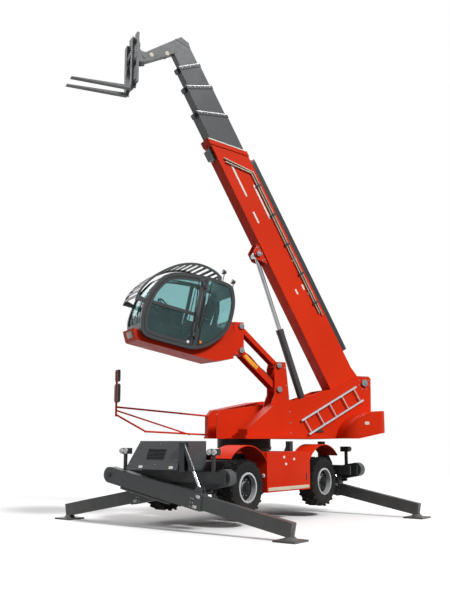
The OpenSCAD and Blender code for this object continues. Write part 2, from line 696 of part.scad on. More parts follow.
// Cab, in its own frame at the tilt pin
module cab_part(x0, x1, d) {
  intersection() {
    polygon(inset(cab_line, d));
    translate([x0, -1000])
      square([x1 - x0, 3000]);
  }
}
module cab_tub() {
  color("#c4231c") in_cab()
    difference() {
      union() {
        side(cab_y0 + 40, cab_y1 - 130)
          polygon(concat([for (i = [46:63]) cab_line[i] - [fit, fit]],
            [for (i = [0:5]) cab_line[i] + [fit, -fit]], [[cab_front + 62, cab_floor + 145],
            [cab_front - 48, cab_floor - 65], [cab_front - 80, cab_floor - 85], [cab_rear + 163, cab_floor - 85],
            [cab_rear - 257, cab_floor + 80], [cab_rear - 207, cab_floor + 460], [cab_rear - 67, cab_floor + 870]]));
        side(490, 710)
          polygon([[-45, -45], [45, -60], [150, -100], [150, 100], [45, 55], [-45, 45]]);
      }
      bar_y(0, 0, 51, 300, 900);
    }
}
module cab_frame() {
  color("#33373b") in_cab() {
    difference() {
      side(cab_y0, cab_y1)
        polygon(cab_line);
      side(cab_y0 + 50, cab_y1 - 50)
        polygon(inset(cab_line, cab_wall));
      // Door opening, left
      side(cab_y1 - 100, cab_y1 + 50)
        cab_part(door_x, cab_front, cab_rail);
      // Round back windows, both sides
      side(cab_y0 - 50, cab_y1 + 50)
        cab_part(cab_rear, door_x - 80, cab_rail);
      // Right window
      side(cab_y0 - 50, cab_y0 + 100)
        difference() {
          cab_part(door_x, cab_front, cab_rail);
          translate([cab_rear, cab_floor])
            square([cab_front, 560]);
        }
      // Windscreen, back window and roof window
      side(cab_y0 + 80, cab_y1 - 80)
        polygon(band(cab_line, 8, 24, -40, 100));
      side(cab_y0 + 100, cab_y1 - 100)
        polygon(band(cab_line, 41, 47, -40, 100));
      side(cab_y0 + 130, cab_y1 - 130)
        polygon(band(cab_line, 29, 34, -40, 100));
    }
    // Hinge pins of the door
    for (z = [-40, 1100]) {
      translate([door_x - 15, cab_y1 + 24, z - 30])
        cylinder(d = 20, h = 180);
      for (k = [z - 30, z + 126])
        box(door_x - 60, door_x - 1, cab_y1 - 20, cab_y1 + 40, k, k + 24);
    }
  }
}
module cab_glass() {
  color("#7fb5b0") in_cab() {
    side(cab_y0 + 8, cab_y0 + 16)
      difference() {
        cab_part(door_x + fit, cab_front, cab_rail + fit);
        translate([cab_rear, cab_floor])
          square([cab_front, 560 + fit]);
      }
    for (y = [cab_y0 + 8, cab_y1 - 16])
      side(y, y + 8)
        cab_part(cab_rear, door_x - 80 - fit, cab_rail + fit);
    side(cab_y0 + 80 + fit, cab_y1 - 80 - fit)
      polygon(band(cab_line, 8, 24, 20, 28, fit));
    side(cab_y0 + 100 + fit, cab_y1 - 100 - fit)
      polygon(band(cab_line, 41, 47, 20, 28, fit));
    side(cab_y0 + 130 + fit, cab_y1 - 130 - fit)
      polygon(band(cab_line, 29, 34, 20, 28, fit));
  }
}
module cab_seat() {
  color("#232427") in_cab() {
    side(cab_mid - 240, cab_mid + 240)
      polygon([[760, 180], [1240, 180], [1275, 230], [1260, 290], [1200, 300], [780, 275]]);
    side(cab_mid - 230, cab_mid + 230)
      polygon([[770, 250], [860, 280], [790, 600], [755, 900], [690, 930], [650, 880], [690, 560]]);
    side(cab_mid - 120, cab_mid + 120)
      polygon([[665, 900], [740, 900], [735, 1110], [690, 1130], [655, 1090]]);
    intersection() {
      box(900, 1180, cab_mid - 170, cab_mid + 170, cab_floor, 185);
      side(cab_y0, cab_y1)
        polygon(inset(cab_line, cab_wall + fit));
    }
  }
}
module cab_console() {
  color("#2b2d30") in_cab() {
    intersection() {
      side(cab_mid - 160, cab_mid + 160)
        polygon([[1880, cab_floor], [2180, cab_floor], [2190, 300], [2060, 400], [1960, 320]]);
      side(cab_y0, cab_y1)
        polygon(inset(cab_line, cab_wall + fit));
    }
    tube([2000, cab_mid, 318], [1790, cab_mid, 560], 60);
    translate([1790, cab_mid, 560])
      rotate([0, -40, 0]) {
        rotate_extrude($fn = 48)
          translate([170, 0])
            circle(d = 32);
        cylinder(r = 60, h = 20, center = true);
        for (a = [0, 120, 240])
          rotate([0, 0, a])
            box(20, 170, -14, 14, -8, 8);
      }
  }
}
module roof_guard() {
  n = len(guard_line) - 1;
  low = beside(guard_line, -45);
  skin = beside(guard_line, -14);
  color("#2f3236") in_cab() {
    for (y = [cab_y0 + 30, cab_y1 - 70]) {
      side(y, y + 40)
        polygon(concat(guard_line, [for (i = [n:-1:0]) low[i]]));
      // Feet on the roof and on the windscreen's posts
      difference() {
        union() {
          side(y, y + 40)
            polygon([[guard_line[0][0] + 2, cab_top - 40], [guard_line[0][0] + 80, cab_top - 40],
              [guard_line[3][0], low[3][1] + 10], [guard_line[0][0] + 2, low[0][1] + 10]]);
          side(y, y + 40)
            polygon([[low[n][0] + 10, low[n][1] + 5], [cab_front - 120, low[n][1] + 5],
              [cab_front - 120, low[n][1] + 60], [low[n - 2][0] + 10, low[n - 2][1]]]);
        }
        side(cab_y0 - 10, cab_y1 + 10)
          polygon(inset(cab_line, -fit));
      }
    }
    // Slats
    for (i = [1:2:n - 1])
      side(cab_y0 + 65, cab_y1 - 65)
        polygon([guard_line[i], guard_line[i + 1], skin[i + 1], skin[i]]);
    // Beacon at the back of the roof
    difference() {
      translate([cab_rear + 290, cab_mid - 120, cab_top - 40])
        cylinder(d = 120, h = 190);
      side(cab_y0 - 10, cab_y1 + 10)
        polygon(inset(cab_line, -fit));
    }
  }
}
module cab_door() {
  color("#33373b") in_cab() {
    difference() {
      side(cab_y1 - 45, cab_y1 - 5)
        cab_part(door_x + 15, cab_front, cab_rail + 12);
      side(cab_y1 - 100, cab_y1 + 50)
        door_panes(0);
    }
    for (z = [-40, 1100]) {
      translate([door_x - 15, cab_y1 + 24, z])
        difference() {
          cylinder(d = 40, h = 120);
          translate([0, 0, -1])
            cylinder(d = 21, h = 122);
        }
      box(door_x - 2, door_x + 40, cab_y1 + 10, cab_y1 + 30, z + 10, z + 110);
      box(door_x + 20, door_x + 60, cab_y1 - 10, cab_y1 + 30, z + 10, z + 110);
    }
  }
}
// The door's two panes, either side of its middle bar
module door_panes(d) {
  difference() {
    cab_part(door_x + 85 + d, cab_front, cab_rail + 75 + d);
    translate([cab_rear, 420 - d])
      square([cab_front, 70 + 2 * d]);
  }
}
module door_glass() {
  color("#7fb5b0") in_cab()
    side(cab_y1 - 30, cab_y1 - 22)
      door_panes(fit);
}

// Legs: of each pair the one in the outer plane reaches left in front and right at the back
module at_leg(front, left) {
  translate([chassis_x, 0, 0])
    rotate([0, 0, front ? 0 : 180])
      translate([(front == left) ? leg_out : leg_in, 0, 0])
        mirror([0, (front == left) ? 0 : 1, 0])
          children();
}
module along_leg() {
  translate([0, -hinge_y, hinge_z])
    rotate([-leg_fall, 0, 0])
      children();
}
module leg_box(front, left) {
  color("#3c3f42") at_leg(front, left) along_leg() {
    difference() {
      union() {
        box(-box_w / 2, box_w / 2, -20, box_len, -box_h / 2, box_h / 2);
        bar_x(0, 0, box_h, -box_w / 2, box_w / 2);
        for (x = [-62, 40])
          side_x(x, x + 22)
            polygon([[ear_s - 120, box_h / 2 - 5], [ear_s + 100, box_h / 2 - 5], [ear_s + 55, ear_h + 50],
              [ear_s - 55, ear_h + 50]]);
      }
      box(-box_w / 2 + leg_wall, box_w / 2 - leg_wall, 200, box_len - 60, -box_h / 2 + leg_wall,
        box_h / 2 - leg_wall);
      box(-beam_w / 2 - fit, beam_w / 2 + fit, 200, box_len + 50, -beam_h / 2 - fit, beam_h / 2 + fit);
      bar_x(0, 0, 91, -300, 300);
    }
  }
}
// Profile in Y and Z, extruded from x0 to x1
module side_x(x0, x1) {
  translate([x0, 0, 0])
    rotate([90, 0, 90])
      linear_extrude(x1 - x0)
        children();
}
module leg_beam(front, left) {
  color("#46494c") at_leg(front, left) {
    along_leg() {
      box(-beam_w / 2, beam_w / 2, box_len - 330, leg_len + 60, -beam_h / 2, beam_h / 2);
      // Sliding pads at the inner end
      box(-box_w / 2 + leg_wall + fit, box_w / 2 - leg_wall - fit, box_len - 320, box_len - 240,
        -box_h / 2 + leg_wall + fit, box_h / 2 - leg_wall - fit);
    }
    translate([0, foot_y, 0]) {
      translate([-pad_w / 2, -pad_w / 2, 0])
        cube([pad_w, pad_w, 35]);
      cylinder(d = 150, h = ankle_z);
      translate([0, 0, 30])
        cylinder(d1 = 300, d2 = 170, h = 60);
    }
  }
}
module along_ram() {
  translate([0, top_y, top_z])
    rotate([ram_lean, 0, 0])
      children();
}
module leg_barrel(front, left) {
  color("#2a2b2d") at_leg(front, left) along_ram()
    difference() {
      union() {
        bar_x(0, 0, 90, -40, 40);
        translate([0, 0, -560])
          cylinder(d = 110, h = 545);
      }
      translate([0, 0, -580])
        cylinder(d = 61, h = 480);
      bar_x(0, 0, 46, -100, 100);
    }
}
module leg_rod(front, left) {
  color("#c9ccd0") at_leg(front, left) along_ram()
    difference() {
      union() {
        bar_x(0, -ram_len, 90, -35, 35);
        translate([0, 0, -ram_len + 20])
          cylinder(d = 60, h = ram_len - 470);
      }
      bar_x(0, -ram_len, 46, -100, 100);
    }
}
module leg_box_fl() { leg_box(true, true); }
module leg_box_fr() { leg_box(true, false); }
module leg_box_rl() { leg_box(false, true); }
module leg_box_rr() { leg_box(false, false); }
module leg_beam_fl() { leg_beam(true, true); }
module leg_beam_fr() { leg_beam(true, false); }
module leg_beam_rl() { leg_beam(false, true); }
module leg_beam_rr() { leg_beam(false, false); }
module leg_barrel_fl() { leg_barrel(true, true); }
module leg_barrel_fr() { leg_barrel(true, false); }
module leg_barrel_rl() { leg_barrel(false, true); }
module leg_barrel_rr() { leg_barrel(false, false); }
module leg_rod_fl() { leg_rod(true, true); }
module leg_rod_fr() { leg_rod(true, false); }
module leg_rod_rl() { leg_rod(false, true); }
module leg_rod_rr() { leg_rod(false, false); }

// Wheels
module at_wheel(front, left) {
  translate([chassis_x + (front ? axle_x : -axle_x), 0, wheel_z])
    mirror([0, left ? 0 : 1, 0])
      children();
}
module knuckle(front, left) {
  color("#1d1e20") at_wheel(front, left)
    difference() {
      union() {
        translate([0, kingpin_y, -142])
          cylinder(r = 85, h = 284);
        bar_y(0, 0, 150, kingpin_y, wheel_y + 60);
      }
      translate([0, kingpin_y, -300])
        cylinder(d = 71, h = 600);
    }
}
module rim(front, left) {
  color("#b4b7ba") at_wheel(front, left) translate([0, wheel_y, 0]) rotate([-90, 0, 0])
    difference() {
      union() {
        difference() {
          union() {
            cylinder(d = rim_d - 44 - 2 * fit, h = tyre_w - 30, center = true, $fn = 72);
            for (z = [-tyre_w / 2 + 8, tyre_w / 2 - 26])
              translate([0, 0, z])
                cylinder(d = rim_d, h = 18, $fn = 72);
          }
          cylinder(d = rim_d - 76, h = tyre_w + 10, center = true, $fn = 72);
        }
        translate([0, 0, 70])
          cylinder(d = rim_d - 60, h = 20, $fn = 72);
        // Hub, bored for the axle's spindle
        translate([0, 0, 5])
          cylinder(d = 250, h = 155);
        for (a = [0:36:324])
          rotate([0, 0, a])
            translate([165, 0, 88])
              cylinder(d = 34, h = 24);
      }
      translate([0, 0, -300])
        cylinder(d = 150 + 2 * fit, h = 300 + 60 + fit);
    }
}
module tyre(front, left) {
  r = tyre_d / 2 - lug_h;
  h = tyre_w / 2;
  bead = rim_d / 2 - 22;
  color("#1b1b1c") at_wheel(front, left) translate([0, wheel_y, 0]) rotate([-90, 0, 0]) {
    rotate_extrude($fn = 96)
      polygon([[bead, -h + 30], [bead + 24, -h + 30], [bead + 52, -h + 8], [bead + 132, -h], [r - 60, -h + 6],
        [r - 22, -h + 24], [r - 4, -h + 70], [r, 0], [r - 4, h - 70], [r - 22, h - 24], [r - 60, h - 6],
        [bead + 132, h], [bead + 52, h - 8], [bead + 24, h - 30], [bead, h - 30]]);
    // Tread bars, two slanting rows
    for (a = [0:18:342], s = [-1, 1])
      rotate([0, 0, a + (s > 0 ? 9 : 0)])
        translate([r - 17, 0, s * h / 2])
          rotate([s * 38, 0, 0])
            translate([0, -27, -h * 0.47])
              cube([lug_h + 9, 54, h * 0.94]);
  }
}
module knuckle_fl() { knuckle(true, true); }
module knuckle_fr() { knuckle(true, false); }
module knuckle_rl() { knuckle(false, true); }
module knuckle_rr() { knuckle(false, false); }
module rim_fl() { rim(true, true); }
module rim_fr() { rim(true, false); }
module rim_rl() { rim(false, true); }
module rim_rr() { rim(false, false); }
module tyre_fl() { tyre(true, true); }
module tyre_fr() { tyre(true, false); }
module tyre_rl() { tyre(false, true); }
module tyre_rr() { tyre(false, false); }

chassis_frame();
bodywork();
nose_cover();
lamp_pods();
turret_frame();
counterweight();
engine_hood();
ladder();
mirror_frame();
arm_tower();
boom_outer();
boom_tray();
boom_pipes();
boom_stage_1();
boom_stage_2();
boom_stage_3();
boom_stage_4();
fork_hitch();
fork_carriage();
lift_rod();
lift_barrel();
cab_lower_link();
cab_upper_link();
cab_carrier();
cab_tub();
cab_frame();
cab_glass();
cab_seat();
cab_console();
roof_guard();
cab_door();
door_glass();
leg_box_fl();
leg_box_fr();
leg_box_rl();
leg_box_rr();
leg_beam_fl();
leg_beam_fr();
leg_beam_rl();
leg_beam_rr();
leg_barrel_fl();
leg_barrel_fr();
leg_barrel_rl();
leg_barrel_rr();
leg_rod_fl();
leg_rod_fr();
leg_rod_rl();
leg_rod_rr();
knuckle_fl();
knuckle_fr();
knuckle_rl();
knuckle_rr();
rim_fl();
rim_fr();
rim_rl();
rim_rr();
tyre_fl();
tyre_fr();
tyre_rl();
tyre_rr();
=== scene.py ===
import math
import bmesh
import bpy
import numpy as np
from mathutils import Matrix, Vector


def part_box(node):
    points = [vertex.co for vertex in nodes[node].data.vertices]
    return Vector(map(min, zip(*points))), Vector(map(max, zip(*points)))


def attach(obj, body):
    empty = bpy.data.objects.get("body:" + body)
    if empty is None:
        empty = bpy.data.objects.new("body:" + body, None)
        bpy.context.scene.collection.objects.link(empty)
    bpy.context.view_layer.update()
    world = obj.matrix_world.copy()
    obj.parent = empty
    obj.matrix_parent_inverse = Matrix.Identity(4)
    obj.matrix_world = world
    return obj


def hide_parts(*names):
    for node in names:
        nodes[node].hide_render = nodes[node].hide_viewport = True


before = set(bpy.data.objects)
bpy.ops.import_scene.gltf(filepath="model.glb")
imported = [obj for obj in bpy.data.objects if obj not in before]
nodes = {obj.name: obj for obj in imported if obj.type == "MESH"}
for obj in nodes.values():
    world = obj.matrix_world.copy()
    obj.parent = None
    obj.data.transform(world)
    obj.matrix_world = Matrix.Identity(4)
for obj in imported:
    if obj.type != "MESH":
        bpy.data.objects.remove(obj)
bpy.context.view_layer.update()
print("frame loaded:", len(nodes), "nodes")

# places of the machine's own frames, in metres and degrees
places = {"slew": -28, "boomPivot": (-3.2, 0, 3.16), "boomAngle": 61,
          "cabPin": (0.67974, 0, 3.75016), "cabTilt": 12}
chassisLow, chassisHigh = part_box("chassis_frame")
slewX = (chassisLow.x + chassisHigh.x) / 2


# turns coordinates i and j of an array of points by an angle in degrees
def turned(points, angle, i, j):
    p = np.asarray(points, float)
    q = p.copy()
    c, s = math.cos(math.radians(angle)), math.sin(math.radians(angle))
    q[..., i] = p[..., i] * c - p[..., j] * s
    q[..., j] = p[..., i] * s + p[..., j] * c
    return q


def chassisAt(p):
    return np.asarray(p, float) + [slewX, 0, 0]


def turretAt(p):
    return turned(p, places["slew"], 0, 1) + [slewX, 0, 0]


# boom frame: along, across, up from the pivot
def boomAt(p):
    return turretAt(turned(p, places["boomAngle"], 0, 2) + np.array(places["boomPivot"]))


# cab frame: forward, across, up from the tilt pin
def cabAt(p):
    return turretAt(turned(p, places["cabTilt"], 0, 2) + np.array(places["cabPin"]))


# colour written as six hex digits, as linear values
def tint(digits):
    v = np.array([int(digits[k:k + 2], 16) for k in (0, 2, 4)]) / 255
    return (*np.where(v <= 0.04045, v / 12.92, ((v + 0.055) / 1.055) ** 2.4), 1.0)


# what all finishes share: how far noises are spread, scale, detail and edge of chips and dust,
# how much finer the gloss varies than the colour, coat and bump
mixKit = {"spread": (0.3, 0.7), "chipScale": 26.0, "chipDetail": 6.0, "chipEdge": 0.05, "chipCover": 0.55,
          "dustScale": 5.0, "dustDetail": 5.0, "dustSpread": (0.35, 0.65), "dustLeast": 0.3,
          "belowEdge": 0.002, "glossFiner": 6, "glossDetail": 4.0, "coatRough": 0.08, "grainDetail": 2.0,
          "bump": 0.5}


# one finish: base and shade mixed by a broad noise, fine grain as bump, chips as specks,
# dust that fades with height, and another colour below a level
def makeFinish(name, base, shade, rough=(0.35, 0.5), metal=0.0, coat=0.0, broad=1.3, grain=90.0,
               depth=0.0004, chips=None, chipShare=0.7, dust=None, dustTop=1.2, dustShare=0.5, gloss=0.4,
               below=None):
    mat = bpy.data.materials.new(name)
    mat.use_nodes = True
    tree = mat.node_tree
    tree.nodes.clear()
    link = tree.links.new
    out = tree.nodes.new("ShaderNodeOutputMaterial")
    skin = tree.nodes.new("ShaderNodeBsdfPrincipled")
    skin.inputs["Metallic"].default_value = metal
    skin.inputs["Specular IOR Level"].default_value = gloss
    skin.inputs["Coat Weight"].default_value = coat
    skin.inputs["Coat Roughness"].default_value = mixKit["coatRough"]
    link(skin.outputs["BSDF"], out.inputs["Surface"])
    coord = tree.nodes.new("ShaderNodeTexCoord")

    def noise(scale, detail=3.0):
        n = tree.nodes.new("ShaderNodeTexNoise")
        n.inputs["Scale"].default_value = scale
        n.inputs["Detail"].default_value = detail
        link(coord.outputs["Object"], n.inputs["Vector"])
        return n.outputs["Fac"]

    def ranged(value, low, high, toLow, toHigh):
        r = tree.nodes.new("ShaderNodeMapRange")
        for key, number in (("From Min", low), ("From Max", high), ("To Min", toLow), ("To Max", toHigh)):
            r.inputs[key].default_value = number
        link(value, r.inputs["Value"])
        return r.outputs["Result"]

    # a Mix node takes its two colours at sockets 6 and 7 and gives the mixed one at 2
    def mixed(factor, a, b):
        m = tree.nodes.new("ShaderNodeMix")
        m.data_type = "RGBA"
        link(factor, m.inputs["Factor"])
        for socket, value in ((m.inputs[6], a), (m.inputs[7], b)):
            if isinstance(value, tuple):
                socket.default_value = value
            else:
                link(value, socket)
        return m.outputs[2]

    colour = mixed(ranged(noise(broad), *mixKit["spread"], 0.0, 1.0), tint(base), tint(shade))
    if chips:
        chipNoise = noise(mixKit["chipScale"], mixKit["chipDetail"])
        specks = ranged(chipNoise, chipShare, chipShare + mixKit["chipEdge"], 0.0, mixKit["chipCover"])
        colour = mixed(specks, colour, tint(chips))
    if dust or below:
        apart = tree.nodes.new("ShaderNodeSeparateXYZ")
        link(coord.outputs["Object"], apart.inputs["Vector"])
        height = apart.outputs["Z"]
    if dust:
        times = tree.nodes.new("ShaderNodeMath")
        times.operation = "MULTIPLY"
        dustNoise = noise(mixKit["dustScale"], mixKit["dustDetail"])
        link(ranged(height, 0.0, dustTop, dustShare, 0.0), times.inputs[0])
        link(ranged(dustNoise, *mixKit["dustSpread"], mixKit["dustLeast"], 1.0), times.inputs[1])
        colour = mixed(times.outputs["Value"], colour, tint(dust))
    if below:
        level, under = below
        edge = mixKit["belowEdge"]
        colour = mixed(ranged(height, level - edge, level + edge, 1.0, 0.0), colour, tint(under))
    link(colour, skin.inputs["Base Color"])
    glossNoise = noise(broad * mixKit["glossFiner"], mixKit["glossDetail"])
    link(ranged(glossNoise, *mixKit["spread"], *rough), skin.inputs["Roughness"])
    bump = tree.nodes.new("ShaderNodeBump")
    bump.inputs["Strength"].default_value = mixKit["bump"]
    bump.inputs["Distance"].default_value = depth
    link(noise(grain, mixKit["grainDetail"]), bump.inputs["Height"])
    link(bump.outputs["Normal"], skin.inputs["Normal"])
    return mat


# tinted window glass: clear inside, a faint unevenness in its gloss
def makeGlass(name, colour, clear, bend):
    mat = makeFinish(name, colour, colour, rough=(0.02, 0.05), broad=2.0, depth=0.00005)
    skin = mat.node_tree.nodes["Principled BSDF"]
    skin.inputs["Transmission Weight"].default_value = clear
    skin.inputs["IOR"].default_value = bend
    return mat


redKit = dict(rough=(0.4, 0.52), gloss=0.1)
bodyRed = dict(base="d8300c", shade="cb2a08", broad=0.6, chips="a82408", chipShare=0.74, **redKit)
lensKit = dict(rough=(0.08, 0.16), coat=0.6, broad=14.0, grain=160.0, depth=0.002)
finishKits = {
    "redPaint": bodyRed,
    "turretRed": dict(below=(1.797, "1a1b1c"), **bodyRed),
    "boomRed": dict(base="de340e", shade="d02d0a", broad=0.5, chips="e8603c", chipShare=0.76, **redKit),
    "hoodRed": dict(base="d42e0c", shade="c82808", broad=0.7, **redKit),
    "chassisBlack": dict(base="2a2c2e", shade="202224", rough=(0.4, 0.55), chips="4a4c4e", dust="6a655e",
                         dustTop=1.3, dustShare=0.35),
    "noseGrey": dict(base="46494b", shade="3c3f41", rough=(0.38, 0.5), coat=0.1, chips="5c5f61",
                     dust="6d6962", dustTop=1.6, dustShare=0.25),
    "innerBoom": dict(base="404244", shade="343638", rough=(0.34, 0.5), broad=0.9, chips="6c6e70",
                      chipShare=0.73),
    "headGrey": dict(base="55585a", shade="484b4d", rough=(0.34, 0.48), broad=1.4, chips="74777a"),
    "carriageGrey": dict(base="5a5d5f", shade="4c4f51", rough=(0.36, 0.5), broad=2.0, chips="7d8083",
                         chipShare=0.71),
    "steelPipe": dict(base="b3ab9c", shade="a19a8c", rough=(0.3, 0.45), metal=0.5, broad=3.0),
    "chrome": dict(base="b4b7ba", shade="9fa2a5", rough=(0.12, 0.22), metal=1.0, broad=2.5, depth=0.00005),
    "ramBlack": dict(base="26282a", shade="1e2022", rough=(0.28, 0.42), coat=0.15, broad=1.6, chips="484a4c"),
    "barrelGrey": dict(base="3c3e40", shade="343638", rough=(0.34, 0.46), broad=1.2, chips="56585a"),
    "cabGrey": dict(base="2b2e31", shade="232629", rough=(0.3, 0.42), coat=0.2, broad=1.2),
    "cabTrim": dict(base="17181a", shade="111213", rough=(0.5, 0.65), broad=6.0, grain=240.0, depth=0.0008),
    "guardGrey": dict(base="3a3d40", shade="303336", rough=(0.34, 0.48), broad=2.0),
    "legGrey": dict(base="474a4c", shade="3c3f41", rough=(0.36, 0.5), broad=1.1, chips="66696b",
                    chipShare=0.72, dust="77726a", dustTop=0.9, dustShare=0.4),
    "rimSilver": dict(base="c6c8ca", shade="b4b6b8", rough=(0.34, 0.46), metal=0.3, broad=3.0, dust="7d766b",
                      dustTop=1.0, dustShare=0.3),
    "tyreRubber": dict(base="1b1b1c", shade="131314", rough=(0.7, 0.88), broad=4.0, grain=140.0, depth=0.001,
                       dust="57524b", dustTop=0.9, dustShare=0.4, gloss=0.2),
    "ladderAlu": dict(base="c9ccce", shade="b7babc", rough=(0.28, 0.42), metal=0.75, broad=5.0),
    "reflector": dict(base="f1efea", shade="e2e0da", rough=(0.25, 0.4), coat=0.5, broad=30.0, grain=420.0,
                      depth=0.0006),
    "wearLine": dict(base="d6d7d6", shade="a7a9aa", rough=(0.3, 0.5), metal=0.4, broad=9.0),
    "boltSteel": dict(base="8d9092", shade="717476", rough=(0.3, 0.45), metal=0.8, broad=20.0),
    "blackRubber": dict(base="1b1c1d", shade="141516", rough=(0.6, 0.75), broad=8.0, grain=200.0,
                        depth=0.0005),
    "mirrorShell": dict(base="3a3638", shade="2c2a2b", rough=(0.4, 0.55), broad=6.0),
    "mirrorGlass": dict(base="c9ced2", shade="bcc2c6", rough=(0.03, 0.06), metal=1.0, broad=3.0,
                        depth=0.00002),
    "amberLens": dict(base="f08a12", shade="e07406", **lensKit),
    "clearLens": dict(base="f4f3ee", shade="dcdcd8", **lensKit),
    "lampBezel": dict(base="d7d9da", shade="bfc2c4", rough=(0.12, 0.22), metal=0.9, broad=12.0),
    "blankYellow": dict(base="f2b02c", shade="e6a01e", rough=(0.35, 0.45), broad=6.0),
    "blankPale": dict(base="d9cfc2", shade="c9beb0", rough=(0.4, 0.5), broad=8.0),
    "panelStrip": dict(base="d8cdb6", shade="c2b69f", rough=(0.35, 0.5), broad=3.0, chips="a39a86"),
    # near black for the wheel centres: painted shade of the deep-set disc, which lies in shadow
    "hubPaintedShade": dict(base="0e0f10", shade="090a0b", rough=(0.55, 0.7), broad=6.0, chips="242526", gloss=0.2),
    "seatCloth": dict(base="2c2e31", shade="232528", rough=(0.8, 0.95), broad=9.0, grain=620.0, depth=0.0012),
    "screenGlass": dict(base="1c2a30", shade="16232a", rough=(0.06, 0.12), coat=0.5, broad=8.0),
}
finishes = {name: makeFinish(name, **kit) for name, kit in finishKits.items()}
finishes["cabGlass"] = makeGlass("cabGlass", "b8d8d9", clear=0.95, bend=1.12)
print("finishes made:", len(finishes))

# which finish each solid of the frame wears
nodeFinish = {
    "chassis_frame": "chassisBlack", "bodywork": "redPaint", "nose_cover": "noseGrey",
    "lamp_pods": "chassisBlack", "turret_frame": "turretRed", "counterweight": "redPaint",
    "engine_hood": "hoodRed", "ladder": "ladderAlu", "mirror_frame": "redPaint", "arm_tower": "redPaint",
    "boom_outer": "boomRed", "boom_tray": "ramBlack", "boom_pipes": "steelPipe", "boom_stage_1": "innerBoom",
    "boom_stage_2": "innerBoom", "boom_stage_3": "innerBoom", "boom_stage_4": "headGrey",
    "fork_hitch": "headGrey", "fork_carriage": "carriageGrey", "lift_rod": "chrome",
    "lift_barrel": "barrelGrey", "cab_lower_link": "redPaint", "cab_upper_link": "redPaint",
    "cab_carrier": "redPaint", "cab_tub": "redPaint", "cab_frame": "cabGrey", "cab_glass": "cabGlass",
    "cab_seat": "cabTrim", "cab_console": "cabTrim", "roof_guard": "guardGrey", "cab_door": "cabGrey",
    "door_glass": "cabGlass",
}
cornerFinish = {"leg_box": "legGrey", "leg_beam": "legGrey", "leg_barrel": "ramBlack", "leg_rod": "chrome",
                "knuckle": "chassisBlack", "rim": "rimSilver", "tyre": "tyreRubber"}
for kind, skin in cornerFinish.items():
    nodeFinish.update({f"{kind}_{corner}": skin for corner in ("fl", "fr", "rl", "rr")})
for name, obj in nodes.items():
    obj.data.materials.clear()
    obj.data.materials.append(finishes[nodeFinish[name]])
print("frame dressed")

# stage: a pale floor, lit near the machine and white to the eye farther off, and a world dim at its horizon
stageKit = {"reach": 160.0, "spokes": 96, "rings": 24, "drop": 0.001, "near": 9.0, "far": 24.0,
            "floorWhite": 0.93, "floorBounce": 0.12, "worldLow": 0.06, "worldHigh": 0.95}


# 1 for what is seen straight, in a gloss or through glass, and 0 for light on its way to a surface
def seenRay(tree):
    path = tree.nodes.new("ShaderNodeLightPath")
    direct, seen = tree.nodes.new("ShaderNodeMath"), tree.nodes.new("ShaderNodeMath")
    direct.operation = seen.operation = "MAXIMUM"
    tree.links.new(path.outputs["Is Camera Ray"], direct.inputs[0])
    tree.links.new(path.outputs["Is Glossy Ray"], direct.inputs[1])
    tree.links.new(direct.outputs["Value"], seen.inputs[0])
    tree.links.new(path.outputs["Is Transmission Ray"], seen.inputs[1])
    return seen.outputs["Value"]


def makeFloor():
    spokes, rings = stageKit["spokes"], stageKit["rings"]
    angle = np.linspace(0, 2 * np.pi, spokes, endpoint=False)[:, None]
    radius = np.linspace(0, 1, rings)[None, :] ** 2 * stageKit["reach"]
    level = np.full((spokes, rings), -stageKit["drop"])
    disc = np.stack([radius * np.cos(angle), radius * np.sin(angle), level], -1)
    i, j = np.meshgrid(np.arange(spokes), np.arange(rings - 1), indexing="ij")
    after = (i + 1) % spokes
    quads = np.stack([i * rings + j, i * rings + j + 1, after * rings + j + 1, after * rings + j], -1)
    mesh = bpy.data.meshes.new("floor")
    mesh.from_pydata(disc.reshape(-1, 3).tolist(), [], quads.reshape(-1, 4)[:, ::-1].tolist())
    floor = bpy.data.objects.new("floor", mesh)
    bpy.context.scene.collection.objects.link(floor)
    mat = bpy.data.materials.new("floorWhite")
    mat.use_nodes = True
    tree = mat.node_tree
    tree.nodes.clear()
    new, link = tree.nodes.new, tree.links.new
    out, mix = new("ShaderNodeOutputMaterial"), new("ShaderNodeMixShader")
    lit, glow = new("ShaderNodeBsdfDiffuse"), new("ShaderNodeEmission")
    glow.inputs["Color"].default_value = (1, 1, 1, 1)
    coord, length, fade = new("ShaderNodeTexCoord"), new("ShaderNodeVectorMath"), new("ShaderNodeMapRange")
    length.operation = "LENGTH"
    fade.interpolation_type = "SMOOTHSTEP"
    fade.inputs["From Min"].default_value = stageKit["near"]
    fade.inputs["From Max"].default_value = stageKit["far"]
    link(coord.outputs["Object"], length.inputs[0])
    link(length.outputs["Value"], fade.inputs["Value"])
    seen = seenRay(tree)
    paint = new("ShaderNodeMix")  # white to the eye, darker for the light thrown back up
    paint.data_type = "RGBA"
    paint.inputs[6].default_value = (stageKit["floorBounce"],) * 3 + (1,)
    paint.inputs[7].default_value = (stageKit["floorWhite"],) * 3 + (1,)
    link(seen, paint.inputs["Factor"])
    link(paint.outputs[2], lit.inputs["Color"])
    times = new("ShaderNodeMath")
    times.operation = "MULTIPLY"
    link(seen, times.inputs[0])
    link(fade.outputs["Result"], times.inputs[1])
    link(times.outputs["Value"], mix.inputs["Fac"])
    link(lit.outputs["BSDF"], mix.inputs[1])
    link(glow.outputs["Emission"], mix.inputs[2])
    link(mix.outputs["Shader"], out.inputs["Surface"])
    mesh.materials.append(mat)


